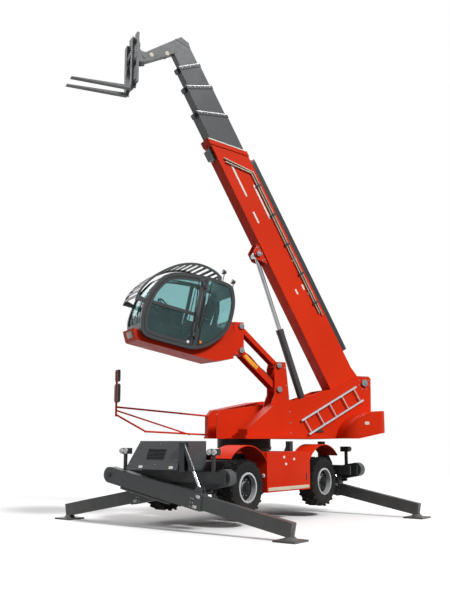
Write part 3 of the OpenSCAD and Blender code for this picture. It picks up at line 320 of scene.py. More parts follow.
def makeWorld():
    world = bpy.data.worlds.new("studio")
    bpy.context.scene.world = world
    world.use_nodes = True
    tree = world.node_tree
    tree.nodes.clear()
    new, link = tree.nodes.new, tree.links.new
    out, back = new("ShaderNodeOutputWorld"), new("ShaderNodeBackground")
    coord, apart = new("ShaderNodeTexCoord"), new("ShaderNodeSeparateXYZ")
    height, strength = new("ShaderNodeMapRange"), new("ShaderNodeMix")
    link(coord.outputs["Generated"], apart.inputs["Vector"])
    link(apart.outputs["Z"], height.inputs["Value"])
    height.inputs["To Min"].default_value = stageKit["worldLow"]
    height.inputs["To Max"].default_value = stageKit["worldHigh"]
    link(seenRay(tree), strength.inputs["Factor"])
    link(height.outputs["Result"], strength.inputs["A"])
    strength.inputs["B"].default_value = 1.0
    link(strength.outputs["Result"], back.inputs["Strength"])
    back.inputs["Color"].default_value = (1, 1, 1, 1)
    link(back.outputs["Background"], out.inputs["Surface"])


makeFloor()
makeWorld()
lampKit = {"key": {"level": 2.8, "from": (0.12, 0.8, 0.7), "soft": 12},
           "fill": {"level": 0.5, "from": (-0.5, -1, 0.6), "soft": 40}}
for name, kit in lampKit.items():
    lamp = bpy.data.lights.new(name, "SUN")
    lamp.energy = kit["level"]
    lamp.angle = math.radians(kit["soft"])
    obj = bpy.data.objects.new(name, lamp)
    obj.rotation_euler = Vector(kit["from"]).to_track_quat("Z", "Y").to_euler()
    bpy.context.scene.collection.objects.link(obj)
bpy.context.scene.view_settings.view_transform = "Standard"

# camera fitted to the photo
cameraKit = {"at": (15.18, 11.09, 1.834), "towards": (-0.7819, -0.5998, 0.17), "lens": 47.7, "sensor": 36,
             "reach": 400}
camera = bpy.data.cameras.new("camera")
camera.lens = cameraKit["lens"]
camera.sensor_width = cameraKit["sensor"]
camera.clip_end = cameraKit["reach"]
cameraObject = bpy.data.objects.new("camera", camera)
cameraObject.location = chassisAt(cameraKit["at"])
cameraObject.rotation_euler = Vector(cameraKit["towards"]).to_track_quat("-Z", "Y").to_euler()
bpy.context.scene.collection.objects.link(cameraObject)
bpy.context.scene.camera = cameraObject
print("stage, lamps and camera set")

# meshes: points nearer than merge are joined, edges shorter than sliver are dissolved,
# and least keeps a divisor above nothing
meshKit = {"merge": 0.00002, "sliver": 0.00001, "least": 1e-9}


# joins grids of points into one piece: neighbouring points make quads, poles merge, faces turn outwards;
# each grid comes with whether its rows and its columns close on themselves
def makePiece(name, grids, finish, body, sharp=38):
    corners, quads, base = [], [], 0
    for points, wrapRows, wrapColumns in grids:
        rows, columns = points.shape[:2]
        i, j = np.meshgrid(np.arange(rows if wrapRows else rows - 1),
                           np.arange(columns if wrapColumns else columns - 1), indexing="ij")
        nextRow, nextColumn = (i + 1) % rows, (j + 1) % columns
        quads.append(np.stack([i * columns + j, nextRow * columns + j, nextRow * columns + nextColumn,
                               i * columns + nextColumn], -1).reshape(-1, 4) + base)
        corners.append(points.reshape(-1, 3))
        base += rows * columns
    mesh = bpy.data.meshes.new(name)
    mesh.from_pydata(np.concatenate(corners).tolist(), [], np.concatenate(quads).tolist())
    work = bmesh.new()
    work.from_mesh(mesh)
    bmesh.ops.remove_doubles(work, verts=work.verts, dist=meshKit["merge"])
    bmesh.ops.dissolve_degenerate(work, edges=work.edges, dist=meshKit["sliver"])
    bmesh.ops.recalc_face_normals(work, faces=work.faces)
    work.to_mesh(mesh)
    work.free()
    mesh.shade_smooth()
    mesh.set_sharp_from_angle(angle=math.radians(sharp))
    mesh.materials.append(finishes[finish])
    piece = bpy.data.objects.new(name, mesh)
    bpy.context.scene.collection.objects.link(piece)
    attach(piece, body)
    return piece


# block with rounded outline: a superellipse ring carried up through rising heights, drawn in at its edges
def slab(length, width, height, power=6.0, sides=24, edge=0.12, mostDrawn=0.3):
    a = np.linspace(0, 2 * np.pi, sides, endpoint=False) + np.pi / sides
    ring = np.stack([np.sign(np.cos(a)) * np.abs(np.cos(a)) ** (2 / power) * length / 2,
                     np.sign(np.sin(a)) * np.abs(np.sin(a)) ** (2 / power) * width / 2], -1)
    soft = 1 - min(edge * height / min(length, width) * 2, mostDrawn)
    scale = np.array([0, soft, 1, 1, soft, 0])[:, None, None]
    lift = np.array([0, 0, edge, 1 - edge, 1, 1])[:, None, None] * height
    return np.concatenate([ring[None] * scale, np.broadcast_to(lift, (6, sides, 1))], -1)


# turned shape: a profile of radius and height carried round the third axis
def turnedShape(profile, sides=24):
    p = np.asarray(profile, float)
    a = np.linspace(0, 2 * np.pi, sides, endpoint=False)
    height = np.broadcast_to(p[:, 1:], (len(p), sides))
    return np.stack([p[:, :1] * np.cos(a), p[:, :1] * np.sin(a), height], -1)


# rod or moulding: a closed outline carried along a path, its ends drawn to points
def rod(path, radius, sides=10, flat=1.0, up=(0, 0, 1), closed=False):
    p = np.asarray(path, float)
    ahead = np.roll(p, -1, 0) - np.roll(p, 1, 0) if closed else np.gradient(p, axis=0)
    ahead /= np.linalg.norm(ahead, axis=1, keepdims=True)
    side = np.cross(ahead, np.asarray(up, float))
    side /= np.linalg.norm(side, axis=1, keepdims=True) + meshKit["least"]
    rise = np.cross(side, ahead)
    a = np.linspace(0, 2 * np.pi, sides, endpoint=False)[None, :, None]
    body = p[:, None] + side[:, None] * radius * np.cos(a) + rise[:, None] * radius * flat * np.sin(a)
    if closed:
        return body
    return np.concatenate([np.repeat(p[:1, None], sides, 1), body, np.repeat(p[-1:, None], sides, 1)], 0)


# smooth curve through points: cubic spans whose slopes come from the neighbours, a few steps to a span
def smoothPath(points, steps=6, closed=False):
    p = np.asarray(points, float)
    n = len(p)
    span = np.arange(n if closed else n - 1)
    pick = (lambda k: p[k % n]) if closed else (lambda k: p[np.clip(k, 0, n - 1)])
    a, b, c, d = (pick(span + k)[:, None] for k in (-1, 0, 1, 2))
    t = np.linspace(0, 1, steps, endpoint=False)[None, :, None]
    out = 2 * b + (c - a) * t + (2 * a - 5 * b + 4 * c - d) * t ** 2 + (3 * b - a - 3 * c + d) * t ** 3
    out = (0.5 * out).reshape(-1, p.shape[1])
    return out if closed else np.concatenate([out, p[-1:]], 0)


# sets a local grid on a place: first two local axes along u and v, the third out of both
def setOn(grid, place, u, v, toRow):
    u, v = np.asarray(u, float), np.asarray(v, float)
    u, v = u / np.linalg.norm(u), v / np.linalg.norm(v)
    w = np.cross(u, v)
    return toRow(np.asarray(place, float) + grid[..., :1] * u + grid[..., 1:2] * v + grid[..., 2:] * w)


def placed(grid, spots, u, v, toRow):
    return [(setOn(grid, spot, u, v, toRow), False, True) for spot in spots]


forward, sideways = (1, 0, 0), (0, 1, 0)
leftFace = (forward, (0, 0, -1))
rightFace = (forward, (0, 0, 1))
frontFace = (sideways, (0, 0, 1))
backFace = ((0, -1, 0), (0, 0, 1))
topFace = (forward, sideways)


# the same shape on the left side and, at the mirrored places, on the right side
def onBothSides(grid, spots, toRow):
    mirrored = [(x, -y, z) for x, y, z in spots]
    return placed(grid, spots, *leftFace, toRow) + placed(grid, mirrored, *rightFace, toRow)


# the same shape at the front and, at the mirrored places, at the back
def onBothEnds(grid, spots, toRow):
    mirrored = [(-x, y, z) for x, y, z in spots]
    return placed(grid, spots, *frontFace, toRow) + placed(grid, mirrored, *backFace, toRow)


# hose or bent bar: a rod along a smooth curve
def hose(points, radius, toRow, sides=10, up=(0, 0, 1)):
    return (toRow(rod(smoothPath(points), radius, sides, up=up)), False, True)


# bead: a thin rod, flattened where it lies on a side face
def bead(path, radius, toRow, flat=1.0, sides=8):
    return (toRow(rod(path, radius, sides, flat=flat, up=sideways)), False, True)


boltShape = turnedShape([(0, 0), (0.019, 0), (0.019, 0.003), (0.0145, 0.004), (0.0145, 0.013), (0.012, 0.016),
                         (0, 0.016)], 6)
capShape = turnedShape([(0, 0), (0.062, 0), (0.066, 0.006), (0.066, 0.018), (0.058, 0.026), (0.03, 0.028),
                        (0.026, 0.034), (0, 0.034)], 28)
dotShape = turnedShape([(0, 0), (0.032, 0), (0.034, 0.004), (0.028, 0.012), (0, 0.014)], 20)

# boom: reflecting strips on its sides, each from one place along it to another at a height
stripKit = {"wide": 0.045, "thick": 0.004, "side": 0.2003,
            "runs": ((5.435, 6.322, -0.641), (4.695, 5.616, -0.325), (4.722, 5.026, -0.667),
                     (2.735, 2.875, -0.556), (2.76, 2.9, -0.33))}
stripGrids = []
for start, end, height in stripKit["runs"]:
    strip = slab(end - start, stripKit["wide"], stripKit["thick"], power=12)
    stripGrids += onBothSides(strip, [((start + end) / 2, stripKit["side"], height)], boomAt)
makePiece("boomReflectors", stripGrids, "reflector", "boom")


# bright line along a slanted mouth: a flat bead from the mouth's top to its foot on both sides
def mouthLine(top, low, across, thick, back=0.012, steps=24, flat=0.35):
    ends = [(top[0] - back, low[0] - back, y) for y in (-across, across)]
    return [bead(np.linspace((first, y, top[1]), (last, y, low[1]), steps), thick, boomAt, flat=flat)
            for first, last, y in ends]


mouthKit = {"top": (6.45, -0.1), "low": (7.1, -0.9), "across": 0.2185, "thick": 0.014}
makePiece("boomMouthEdge", mouthLine(**mouthKit), "reflector", "boom")

# hoses on the tray
hoseKit = {"path": ((1.02, 0, -0.04), (2.4, 0.004, -0.033), (4.1, -0.004, -0.033), (5.78, 0, -0.04)),
           "rows": (-0.075, -0.025, 0.025, 0.075), "thick": 0.021}
trayHoses = [hose(np.array(hoseKit["path"]) + [0, y, 0], hoseKit["thick"], boomAt) for y in hoseKit["rows"]]
makePiece("trayHoses", trayHoses, "blackRubber", "boom")

# clamps over the pipes, and the guide for hoses on the boom's top
clampKit = {"size": (0.055, 0.16, 0.05), "along": (2.35, 3.15, 3.95, 4.75, 5.55), "side": 0.2002,
            "height": -0.22}
clampSpots = [(t, clampKit["side"], clampKit["height"]) for t in clampKit["along"]]
clamp = slab(*clampKit["size"], power=8)
makePiece("pipeClamps", placed(clamp, clampSpots, *leftFace, boomAt), "ramBlack", "boom")
guideKit = {"size": (5.25, 0.075, 0.13), "at": (3.575, 0.158, -0.0998)}
hoseGuide = slab(*guideKit["size"], power=14, edge=0.06)
makePiece("hoseGuide", placed(hoseGuide, [guideKit["at"]], *topFace, boomAt), "ramBlack", "boom")

# bolts and pin caps of the lift bracket
bracketKit = {"bolts": (3.86, 4.0, 4.12, 4.2), "rows": (-0.945, -1.0), "boltSide": 0.1702,
              "cap": (4.05, 0.1902, -1.03)}
bracketBolts = [(t, bracketKit["boltSide"], n) for t in bracketKit["bolts"] for n in bracketKit["rows"]]
makePiece("liftPinCaps", placed(boltShape, bracketBolts, *leftFace, boomAt)
          + onBothSides(capShape, [bracketKit["cap"]], boomAt), "boltSteel", "boom")
print("boom trimmed")

# inner sections: worn bright line at each collar, guide bolts in its sides;
# for each the end of its top, how far its mouth slants, half its width, its top and its foot
sectionKit = {1: (7.46, 0.35, 0.175, 0.122, 0.835), 2: (8.25, 0.22, 0.15, 0.142, 0.775),
              3: (8.87, 0.09, 0.125, 0.162, 0.715)}
collarKit = {"lineSide": 0.0123, "lineThick": 0.011, "boltSide": 0.0122, "boltBack": 0.05,
             "share": np.linspace(0.12, 0.88, 5)}
for k, (end, slant, half, top, low) in sectionKit.items():
    line = mouthLine((end, -top), (end + slant, -low), half + collarKit["lineSide"], collarKit["lineThick"])
    makePiece(f"collarEdge{k}", line, "wearLine", f"stage_{k}")
    spots = [(end - collarKit["boltBack"] + slant * s, half + collarKit["boltSide"], -top - (low - top) * s)
             for s in collarKit["share"]]
    makePiece(f"guideBolts{k}", onBothSides(boltShape, spots, boomAt), "boltSteel", f"stage_{k}")

# head: pale discs on its sides and the seam of its bend
headKit = {"discs": ((9.439, 0.1002, -1.234), (9.35, 0.1002, -0.83)), "seamSides": (-0.1005, 0.1005),
           "profile": ((0, 0), (0.052, 0), (0.055, 0.004), (0.05, 0.008), (0, 0.008)), "seamThick": 0.009,
           "seamFlat": 0.4, "seamFrom": (9.3, -0.2), "seamTo": (9.62, -0.45), "seamSteps": 12}
headDisc = turnedShape(headKit["profile"], 24)
makePiece("headSpots", onBothSides(headDisc, headKit["discs"], boomAt), "blankPale", "stage_4")
(seamX, seamZ), (seamEndX, seamEndZ) = headKit["seamFrom"], headKit["seamTo"]
headSeams = [bead(np.linspace((seamX, y, seamZ), (seamEndX, y, seamEndZ), headKit["seamSteps"]),
                  headKit["seamThick"], boomAt, flat=headKit["seamFlat"]) for y in headKit["seamSides"]]
makePiece("headSeams", headSeams, "ramBlack", "stage_4")
print("sections trimmed")

# cab: outline of its frame as the solid has it, forward and up from the tilt pin
cabKit = {"y0": 0.31, "y1": 1.25, "rail": 0.075, "door": 1.12,
          "line": ((2.041, -0.31), (2.261, -0.24), (2.346, -0.04), (2.371, 0.19), (2.304, 0.625),
                   (2.171, 0.92), (2.006, 1.126), (1.721, 1.253), (1.121, 1.345), (0.557, 1.335),
                   (0.402, 1.18), (0.317, 0.83), (0.375, 0.324), (0.68, -0.081), (1.062, -0.29),
                   (1.477, -0.31))}
cabRight, cabLeft, cabDoor = cabKit["y0"], cabKit["y1"], cabKit["door"]
cabLine = smoothPath(cabKit["line"], steps=4, closed=True)


# outline moved inwards: each point goes left of the chord between its neighbours
def insetLine(line, depth):
    chord = np.roll(line, -1, 0) - np.roll(line, 1, 0)
    inwards = np.stack([-chord[:, 1], chord[:, 0]], -1)
    return line + depth * inwards / np.linalg.norm(chord, axis=1, keepdims=True)


# the stretch of a closed outline that a test keeps, in one run
def keptRun(line, keep):
    start = int(np.argmax(keep & ~np.roll(keep, 1)))
    return np.roll(line, -start, 0)[np.roll(keep, -start)]


def onSide(line, y):
    return np.stack([line[:, 0], np.full(len(line), y), line[:, 1]], -1)


# window seals: flat beads round the openings in the cab's sides and up the windscreen's edges
sealKit = {"thick": 0.013, "flat": 0.55, "sides": 8, "closing": 14, "quarterIn": 0.004, "quarterEnd": 0.083,
           "quarterSide": 0.001, "doorIn": 0.006, "doorEnd": 0.008, "doorSide": 0.002, "screenIn": 0.006,
           "screenRun": (8, 25), "screenSide": 0.083, "screenThick": 0.012, "screenFlat": 0.6}


# seal round one opening: its curved run, closed by a straight one
def seal(line, y):
    turn = np.concatenate([line, np.linspace(line[-1], line[0], sealKit["closing"])[1:-1]], 0)
    ring = rod(onSide(turn, y), sealKit["thick"], sealKit["sides"], flat=sealKit["flat"], up=sideways,
               closed=True)
    return (cabAt(ring), True, True)


inner = insetLine(cabLine, cabKit["rail"] + sealKit["quarterIn"])
quarterRun = keptRun(inner, inner[:, 0] < cabDoor - sealKit["quarterEnd"])
doorRim = insetLine(cabLine, cabKit["rail"] + sealKit["doorIn"])
doorRun = keptRun(doorRim, doorRim[:, 0] > cabDoor + sealKit["doorEnd"])
quarterSeals = [seal(quarterRun, cabLeft - sealKit["quarterSide"]),
                seal(quarterRun, cabRight + sealKit["quarterSide"])]
makePiece("quarterSeals", quarterSeals, "blackRubber", "cab")
makePiece("doorFrameSeal", [seal(doorRun, cabLeft - sealKit["doorSide"])], "blackRubber", "cab")
screenRun = insetLine(cabLine, sealKit["screenIn"])[slice(*sealKit["screenRun"])]
screenSeals = [bead(onSide(screenRun, y), sealKit["screenThick"], cabAt, flat=sealKit["screenFlat"])
               for y in (cabRight + sealKit["screenSide"], cabLeft - sealKit["screenSide"])]
makePiece("windscreenSeals", screenSeals, "blackRubber", "cab")

# dark panels behind the lower half of the round back windows: sheets between the curve and a level line
panelKit = {"level": 0.33, "thick": 0.01, "end": 0.085, "left": 0.018, "right": 0.034}
panelRun = keptRun(inner, (inner[:, 0] < cabDoor - panelKit["end"]) & (inner[:, 1] < panelKit["level"]))


def panelSheet(y):
    low, high = panelRun, np.stack([panelRun[:, 0], np.full(len(panelRun), panelKit["level"])], -1)
    behind = y - panelKit["thick"]
    rows = np.stack([onSide(low, y), onSide(high, y), onSide(high, behind), onSide(low, behind)], 0)
    middle = rows.mean(0, keepdims=True)
    first, last = (np.broadcast_to(end, (4, 1, 3)) for end in (middle[:, :1], middle[:, -1:]))
    return (cabAt(np.concatenate([first, rows, last], 1)), True, False)


quarterPanels = [panelSheet(cabLeft - panelKit["left"]), panelSheet(cabRight + panelKit["right"])]
makePiece("quarterPanels", quarterPanels, "cabTrim", "cab")

# trim inside the lower part of the right-hand window
trimKit = {"size": (1.07, 0.4, 0.01), "at": (1.67, cabRight + 0.022, 0.456)}
rightTrim = slab(*trimKit["size"], power=16)
makePiece("rightTrim", placed(rightTrim, [trimKit["at"]], *leftFace, cabAt), "cabTrim", "cab")

# lamps on stalks at the back of the roof
roofLampKit = {"spots": ((0.69, 1.12, 1.6), (0.42, 1.1, 1.45)), "foot": (1.33, 1.2), "stalk": 0.011,
               "footBack": 0.015, "stalkBack": 0.02, "stalkTop": 0.03,
               "body": ((0, -0.06), (0.03, -0.055), (0.05, -0.01), (0.056, 0.012), (0.056, 0.03),
                        (0.05, 0.032), (0.047, 0.02), (0, 0.02)),
               "lens": ((0, 0.021), (0.046, 0.021), (0.046, 0.028), (0.03, 0.036), (0, 0.039))}
footBack, stalkBack, stalkTop = (roofLampKit[key] for key in ("footBack", "stalkBack", "stalkTop"))
stalkPaths = [[(x - footBack, y, low), (x - stalkBack, y, (low + z) / 2), (x - stalkBack, y, z - stalkTop)]
              for (x, y, z), low in zip(roofLampKit["spots"], roofLampKit["foot"])]
lampBody, lampFront = turnedShape(roofLampKit["body"], 20), turnedShape(roofLampKit["lens"], 20)
makePiece("roofLamps", placed(lampBody, roofLampKit["spots"], *frontFace, cabAt)
          + [bead(smoothPath(path), roofLampKit["stalk"], cabAt) for path in stalkPaths], "ramBlack", "cab")
makePiece("roofLampLenses", placed(lampFront, roofLampKit["spots"], *frontFace, cabAt), "clearLens", "cab")

# amber beacon
beaconKit = {"at": (0.607, 0.66, 1.405),
             "profile": ((0, 0), (0.066, 0), (0.068, 0.006), (0.068, 0.02), (0.064, 0.028), (0.0645, 0.08),
                         (0.052, 0.098), (0.02, 0.106), (0, 0.107))}
beacon = turnedShape(beaconKit["profile"], 28)
makePiece("beaconLens", placed(beacon, [beaconKit["at"]], *topFace, cabAt), "amberLens", "cab")

# wiper, door handle and grab rail
wiperKit = {"blade": ((2.392, 0.60, 0.1), (2.402, 0.615, 0.3), (2.375, 0.63, 0.55), (2.325, 0.645, 0.75)),
            "arm": ((2.372, 0.80, -0.06), (2.405, 0.76, 0.08), (2.413, 0.69, 0.26), (2.405, 0.622, 0.42)),
            "bladeThick": 0.012, "armThick": 0.01}
makePiece("wiper", [bead(smoothPath(wiperKit["blade"]), wiperKit["bladeThick"], cabAt),
                    bead(smoothPath(wiperKit["arm"]), wiperKit["armThick"], cabAt)], "blackRubber", "cab")
handleKit = {"path": ((1.175, 1.2452, 0.3), (1.18, 1.285, 0.315), (1.182, 1.295, 0.41), (1.18, 1.285, 0.505),
                      (1.175, 1.2452, 0.52)), "thick": 0.011}
makePiece("doorHandle", [hose(handleKit["path"], handleKit["thick"], cabAt, up=forward)], "ramBlack", "door")
railKit = {"path": ((1.055, 1.2502, 0.2), (1.055, 1.29, 0.24), (1.055, 1.3, 0.55), (1.055, 1.29, 0.86),
                    (1.055, 1.2502, 0.9)), "thick": 0.013}
makePiece("grabRail", [hose(railKit["path"], railKit["thick"], cabAt, up=forward)], "cabGrey", "cab")

# small lamps and the blank label on the front box
markerKit = {"side": (0.95, 1.2423, -0.105), "door": (1.235, 1.2453, -0.17)}
makePiece("sideMarker", placed(dotShape, [markerKit["side"]], *leftFace, cabAt), "amberLens", "cab")
makePiece("doorLamp", placed(dotShape, [markerKit["door"]], *leftFace, cabAt), "clearLens", "door")
labelKit = {"size": (0.34, 0.14, 0.004), "at": (2.3785, 0.74, -0.2702), "across": (0, -1, 0),
            "down": (-0.11, 0, -0.21)}
frontLabel = slab(*labelKit["size"], power=10)
makePiece("frontLabel", placed(frontLabel, [labelKit["at"]], labelKit["across"], labelKit["down"], cabAt),
          "blankPale", "cab")
print("cab trimmed")

# driver's seat: three pillows with sewn channels; for each its middle and half sizes
seatKit = {"cushion": (1.01, 0.78, 0.245, 0.25, 0.245, 0.075),
           "back": (0.748, 0.78, 0.6, 0.075, 0.235, 0.345), "head": (0.7, 0.78, 1.02, 0.05, 0.125, 0.1),
           "lean": 9, "channels": (-0.11, 0.11), "groove": 0.016, "grooveWide": 0.012, "crown": 0.1}


# pillow: a sphere squared off along its axes, its face drawn in along the sewn channels
def pillow(kit, face, lean=0, square=0.42, steps=44):
    cx, cy, cz, a, b, c = kit
    u = np.linspace(0, 2 * np.pi, steps * 2, endpoint=False)[None, :]
    v = np.linspace(-np.pi / 2, np.pi / 2, steps)[:, None]

    def squared(w):
        return np.sign(w) * np.abs(w) ** square

    p = np.stack([a * squared(np.cos(v)) * squared(np.cos(u)), b * squared(np.cos(v)) * squared(np.sin(u)),
                  c * squared(np.sin(v)) * np.ones_like(u)], -1)
    dip = sum(np.exp(-((p[..., 1] - y) / seatKit["grooveWide"]) ** 2) for y in seatKit["channels"])
    p[..., face] -= dip * seatKit["groove"] * np.clip(p[..., face] / (a, b, c)[face], 0, 1)
    p[..., face] *= 1 + seatKit["crown"] * (1 - (p[..., 1] / b) ** 2)
    return (cabAt(turned(p, lean, 0, 2) + np.array([cx, cy, cz])), False, True)


pillows = [pillow(seatKit["cushion"], 2), pillow(seatKit["back"], 0, seatKit["lean"]),
           pillow(seatKit["head"], 0, seatKit["lean"])]
driverSeat = makePiece("driverSeat", pillows, "seatCloth", "cab", sharp=180)
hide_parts("cab_seat")

# ribbed boot under the seat: a slab's widest ring, drawn in at every other rib
bootKit = {"size": (0.27, 0.33, 0.4), "ribs": 17, "drawn": 0.9, "low": -0.245, "high": 0.178,
           "at": (1.04, 0.78, 0)}
bootRing = slab(*bootKit["size"], power=7)[2][:, :2]
ribs = bootKit["ribs"]
bootScale = np.where(np.arange(ribs) % 2, bootKit["drawn"], 1.0)[:, None, None]
bootLift = np.linspace(bootKit["low"], bootKit["high"], ribs)[:, None, None]
boot = np.concatenate([bootRing[None] * bootScale, np.broadcast_to(bootLift, (ribs, len(bootRing), 1))], -1)
boot = np.concatenate([boot[:1] * [0, 0, 1], boot, boot[-1:] * [0, 0, 1]], 0)
makePiece("seatBoot", placed(boot, [bootKit["at"]], *topFace, cabAt), "cabTrim", "cab")

# armrests with a control stick on each, and the screen
armrestKit = {"pad": (0.36, 0.085, 0.06), "spots": ((0.99, 0.465, 0.4), (0.99, 1.095, 0.4)),
              "stick": (0.14, 0, 0.06),
              "profile": ((0, 0), (0.03, 0), (0.032, 0.02), (0.012, 0.04), (0.011, 0.09), (0.024, 0.11),
                          (0.027, 0.15), (0.018, 0.175), (0, 0.18))}
stickSpots = np.array(armrestKit["spots"]) + armrestKit["stick"]
pad, stick = slab(*armrestKit["pad"], power=5, edge=0.3), turnedShape(armrestKit["profile"], 18)
makePiece("armrests", placed(pad, armrestKit["spots"], *topFace, cabAt)
          + placed(stick, stickSpots, *topFace, cabAt), "cabTrim", "cab")
screenKit = {"size": (0.24, 0.17, 0.02), "at": (1.95, 0.62, 0.52), "across": (0, -1, 0),
             "up": (0.35, 0, 0.94)}
screen = slab(*screenKit["size"], power=9)
makePiece("screen", placed(screen, [screenKit["at"]], screenKit["across"], screenKit["up"], cabAt),
          "screenGlass", "cab")
print("seat made")

# arm of the cab: blank yellow label, hoses along the lower link, pin caps, bolts up the tower's edge
armKit = {"along": (0.7431, 0, 0.6691), "up": (-0.6691, 0, 0.7431), "pin": (-0.51, 2.91),
          "end": (0.43974, 3.76516), "rise": 0.55, "label": (0.42, 0.085, 0.004),
          "labelAt": (0.17, 0.7402, 3.52), "hoseRows": (0.53, 0.575, 0.62, 0.665), "hoseThick": 0.018,
          "hosePath": ((0.14, 0.062), (0.4, 0.1), (0.7, 0.085), (1.0, 0.1), (1.16, 0.064)),
          "towerSides": (0.8202, 0.3798), "carrierSides": (0.8102, 0.3898), "boltSide": 0.8002,
          "bolts": ((-0.8, 1.93), (-0.8, 2.15), (-0.78, 2.4), (-0.74, 2.7), (-0.7, 3.0), (-0.66, 3.4))}
along, armUp = np.array(armKit["along"]), np.array(armKit["up"])
armLabel = placed(slab(*armKit["label"], power=12), [armKit["labelAt"]], along, -armUp, turretAt)
makePiece("armLabel", armLabel, "blankYellow", "lower_link")
pinX, pinZ = armKit["pin"]
hosePath = np.array(armKit["hosePath"]) @ np.stack([along, armUp])
armHoses = [hose(hosePath + [pinX, y, pinZ], armKit["hoseThick"], turretAt, up=sideways)
            for y in armKit["hoseRows"]]
makePiece("armHoses", armHoses, "blackRubber", "lower_link")


# caps on a lower and an upper pin, on both ends of each
def pinCaps(pin, sides):
    left, right = ([(pin[0], y, pin[1] + k * armKit["rise"]) for k in (0, 1)] for y in sides)
    return placed(capShape, left, *leftFace, turretAt) + placed(capShape, right, *rightFace, turretAt)


towerBolts = [(x, armKit["boltSide"], z) for x, z in armKit["bolts"]]
makePiece("towerPinCaps", pinCaps(armKit["pin"], armKit["towerSides"])
          + placed(boltShape, towerBolts, *leftFace, turretAt), "boltSteel", "turret")
makePiece("carrierPinCaps", pinCaps(armKit["end"], armKit["carrierSides"]), "boltSteel", "carrier")

# turret: boom pivot caps with a ring of bolts
pivotKit = {"cap": 1.35, "capSide": 0.2902, "ring": 0.16, "boltSide": 0.2702, "bolts": 8, "first": 0.4}
pivotX, pivotZ = places["boomPivot"][0], places["boomPivot"][2]
boltTurns = np.arange(pivotKit["bolts"]) * 2 * math.pi / pivotKit["bolts"] + pivotKit["first"]
ringSpots = [(pivotX + pivotKit["ring"] * math.cos(a), pivotKit["boltSide"],
              pivotZ + pivotKit["ring"] * math.sin(a)) for a in boltTurns]
pivotCap = capShape * pivotKit["cap"]
makePiece("pivotCaps", onBothSides(pivotCap, [(pivotX, pivotKit["capSide"], pivotZ)], turretAt)
          + onBothSides(boltShape, ringSpots, turretAt), "boltSteel", "turret")

# blank label on the tail, latch under the ladder
tailKit = {"label": (0.13, 0.07, 0.004), "labelAt": (-2.87, 0.8303, 2.165), "latch": (0.24, 0.055, 0.03),
           "latchAt": (-1.871, 0.2702, 1.979)}
tailLabel = slab(*tailKit["label"], power=8)
makePiece("tailLabel", placed(tailLabel, [tailKit["labelAt"]], *leftFace, turretAt), "blankPale", "turret")
latch = slab(*tailKit["latch"], power=5, edge=0.3)
makePiece("latch", placed(latch, [tailKit["latchAt"]], *leftFace, turretAt), "ramBlack", "turret")

# hood louvres: two panels of slats on its side and a row of bars on its top
louvreKit = {"slat": (0.8, 0.03, 0.02), "slope": (0, 0.5, 0.87), "side": -1.1502, "bar": (0.03, 0.5, 0.012),
             "panels": ((-1.5, 2.05, 2.5, 9), (-0.5, 2.05, 2.38, 7)), "bars": (-2.1, -0.8, 14),
             "barAt": (-0.72, 2.6802)}
slat = slab(*louvreKit["slat"], power=8, edge=0.4)
louvres = []
for x, low, high, count in louvreKit["panels"]:
    spots = [(x, louvreKit["side"], z) for z in np.linspace(low, high, count)]
    louvres += placed(slat, spots, forward, louvreKit["slope"], turretAt)
barSpots = [(x, *louvreKit["barAt"]) for x in np.linspace(*louvreKit["bars"])]
louvres += placed(slab(*louvreKit["bar"], power=8, edge=0.4), barSpots, *topFace, turretAt)
makePiece("hoodLouvres", louvres, "ramBlack", "turret")

# mirrors on the bent frame: height, width, length and place across of each
mirrorKit = {"each": ((3.2, 0.25, 0.27, -0.45), (2.81, 0.31, 0.42, -0.46)), "x": 2.907, "faceX": 2.9068,
             "deep": 0.062, "faceThick": 0.004, "margin": 0.05}
mirrorShells, mirrorFaces = [], []
for z, wide, tall, y in mirrorKit["each"]:
    shell = slab(wide, tall, mirrorKit["deep"], power=10, edge=0.25)
    face = slab(wide - mirrorKit["margin"], tall - mirrorKit["margin"], mirrorKit["faceThick"], power=8)
    mirrorShells += placed(shell, [(mirrorKit["x"], y, z)], *frontFace, turretAt)
    mirrorFaces += placed(face, [(mirrorKit["faceX"], y, z)], *backFace, turretAt)
makePiece("mirrorShells", mirrorShells, "mirrorShell", "turret")
makePiece("mirrorFaces", mirrorFaces, "mirrorGlass", "turret")
print("turret trimmed")

# tanks: a pale strip, reflectors and a handle on each
tankKit = {"side": 1.2453, "strip": (1.66, 0.075, 0.006), "stripZ": 0.73, "patch": (0.075, 0.05, 0.006),
           "patches": ((-0.199, 1.35), (0.207, 1.4), (0.131, 1.249)), "dot": 1.3,
           "dots": ((0.8703, -1.15, 1.018), (0.8703, 1.15, 1.018)), "handle": (0.03, 0.17, 0.014),
           "handleAt": (-0.72, 0.95)}
tankSide = tankKit["side"]
tankStrip = slab(*tankKit["strip"], power=14)
makePiece("tankStrips", onBothSides(tankStrip, [(0, tankSide, tankKit["stripZ"])], chassisAt),
          "panelStrip", "chassis")
patchSpots = [(x, tankSide, z) for x, z in tankKit["patches"]]
makePiece("tankReflectors", onBothSides(slab(*tankKit["patch"], power=5), patchSpots, chassisAt)
          + placed(dotShape * tankKit["dot"], tankKit["dots"], *frontFace, chassisAt), "reflector", "chassis")
handleX, handleZ = tankKit["handleAt"]
tankHandle = slab(*tankKit["handle"], power=4, edge=0.3)
makePiece("tankHandles", onBothSides(tankHandle, [(handleX, tankSide, handleZ)], chassisAt),
          "ramBlack", "chassis")

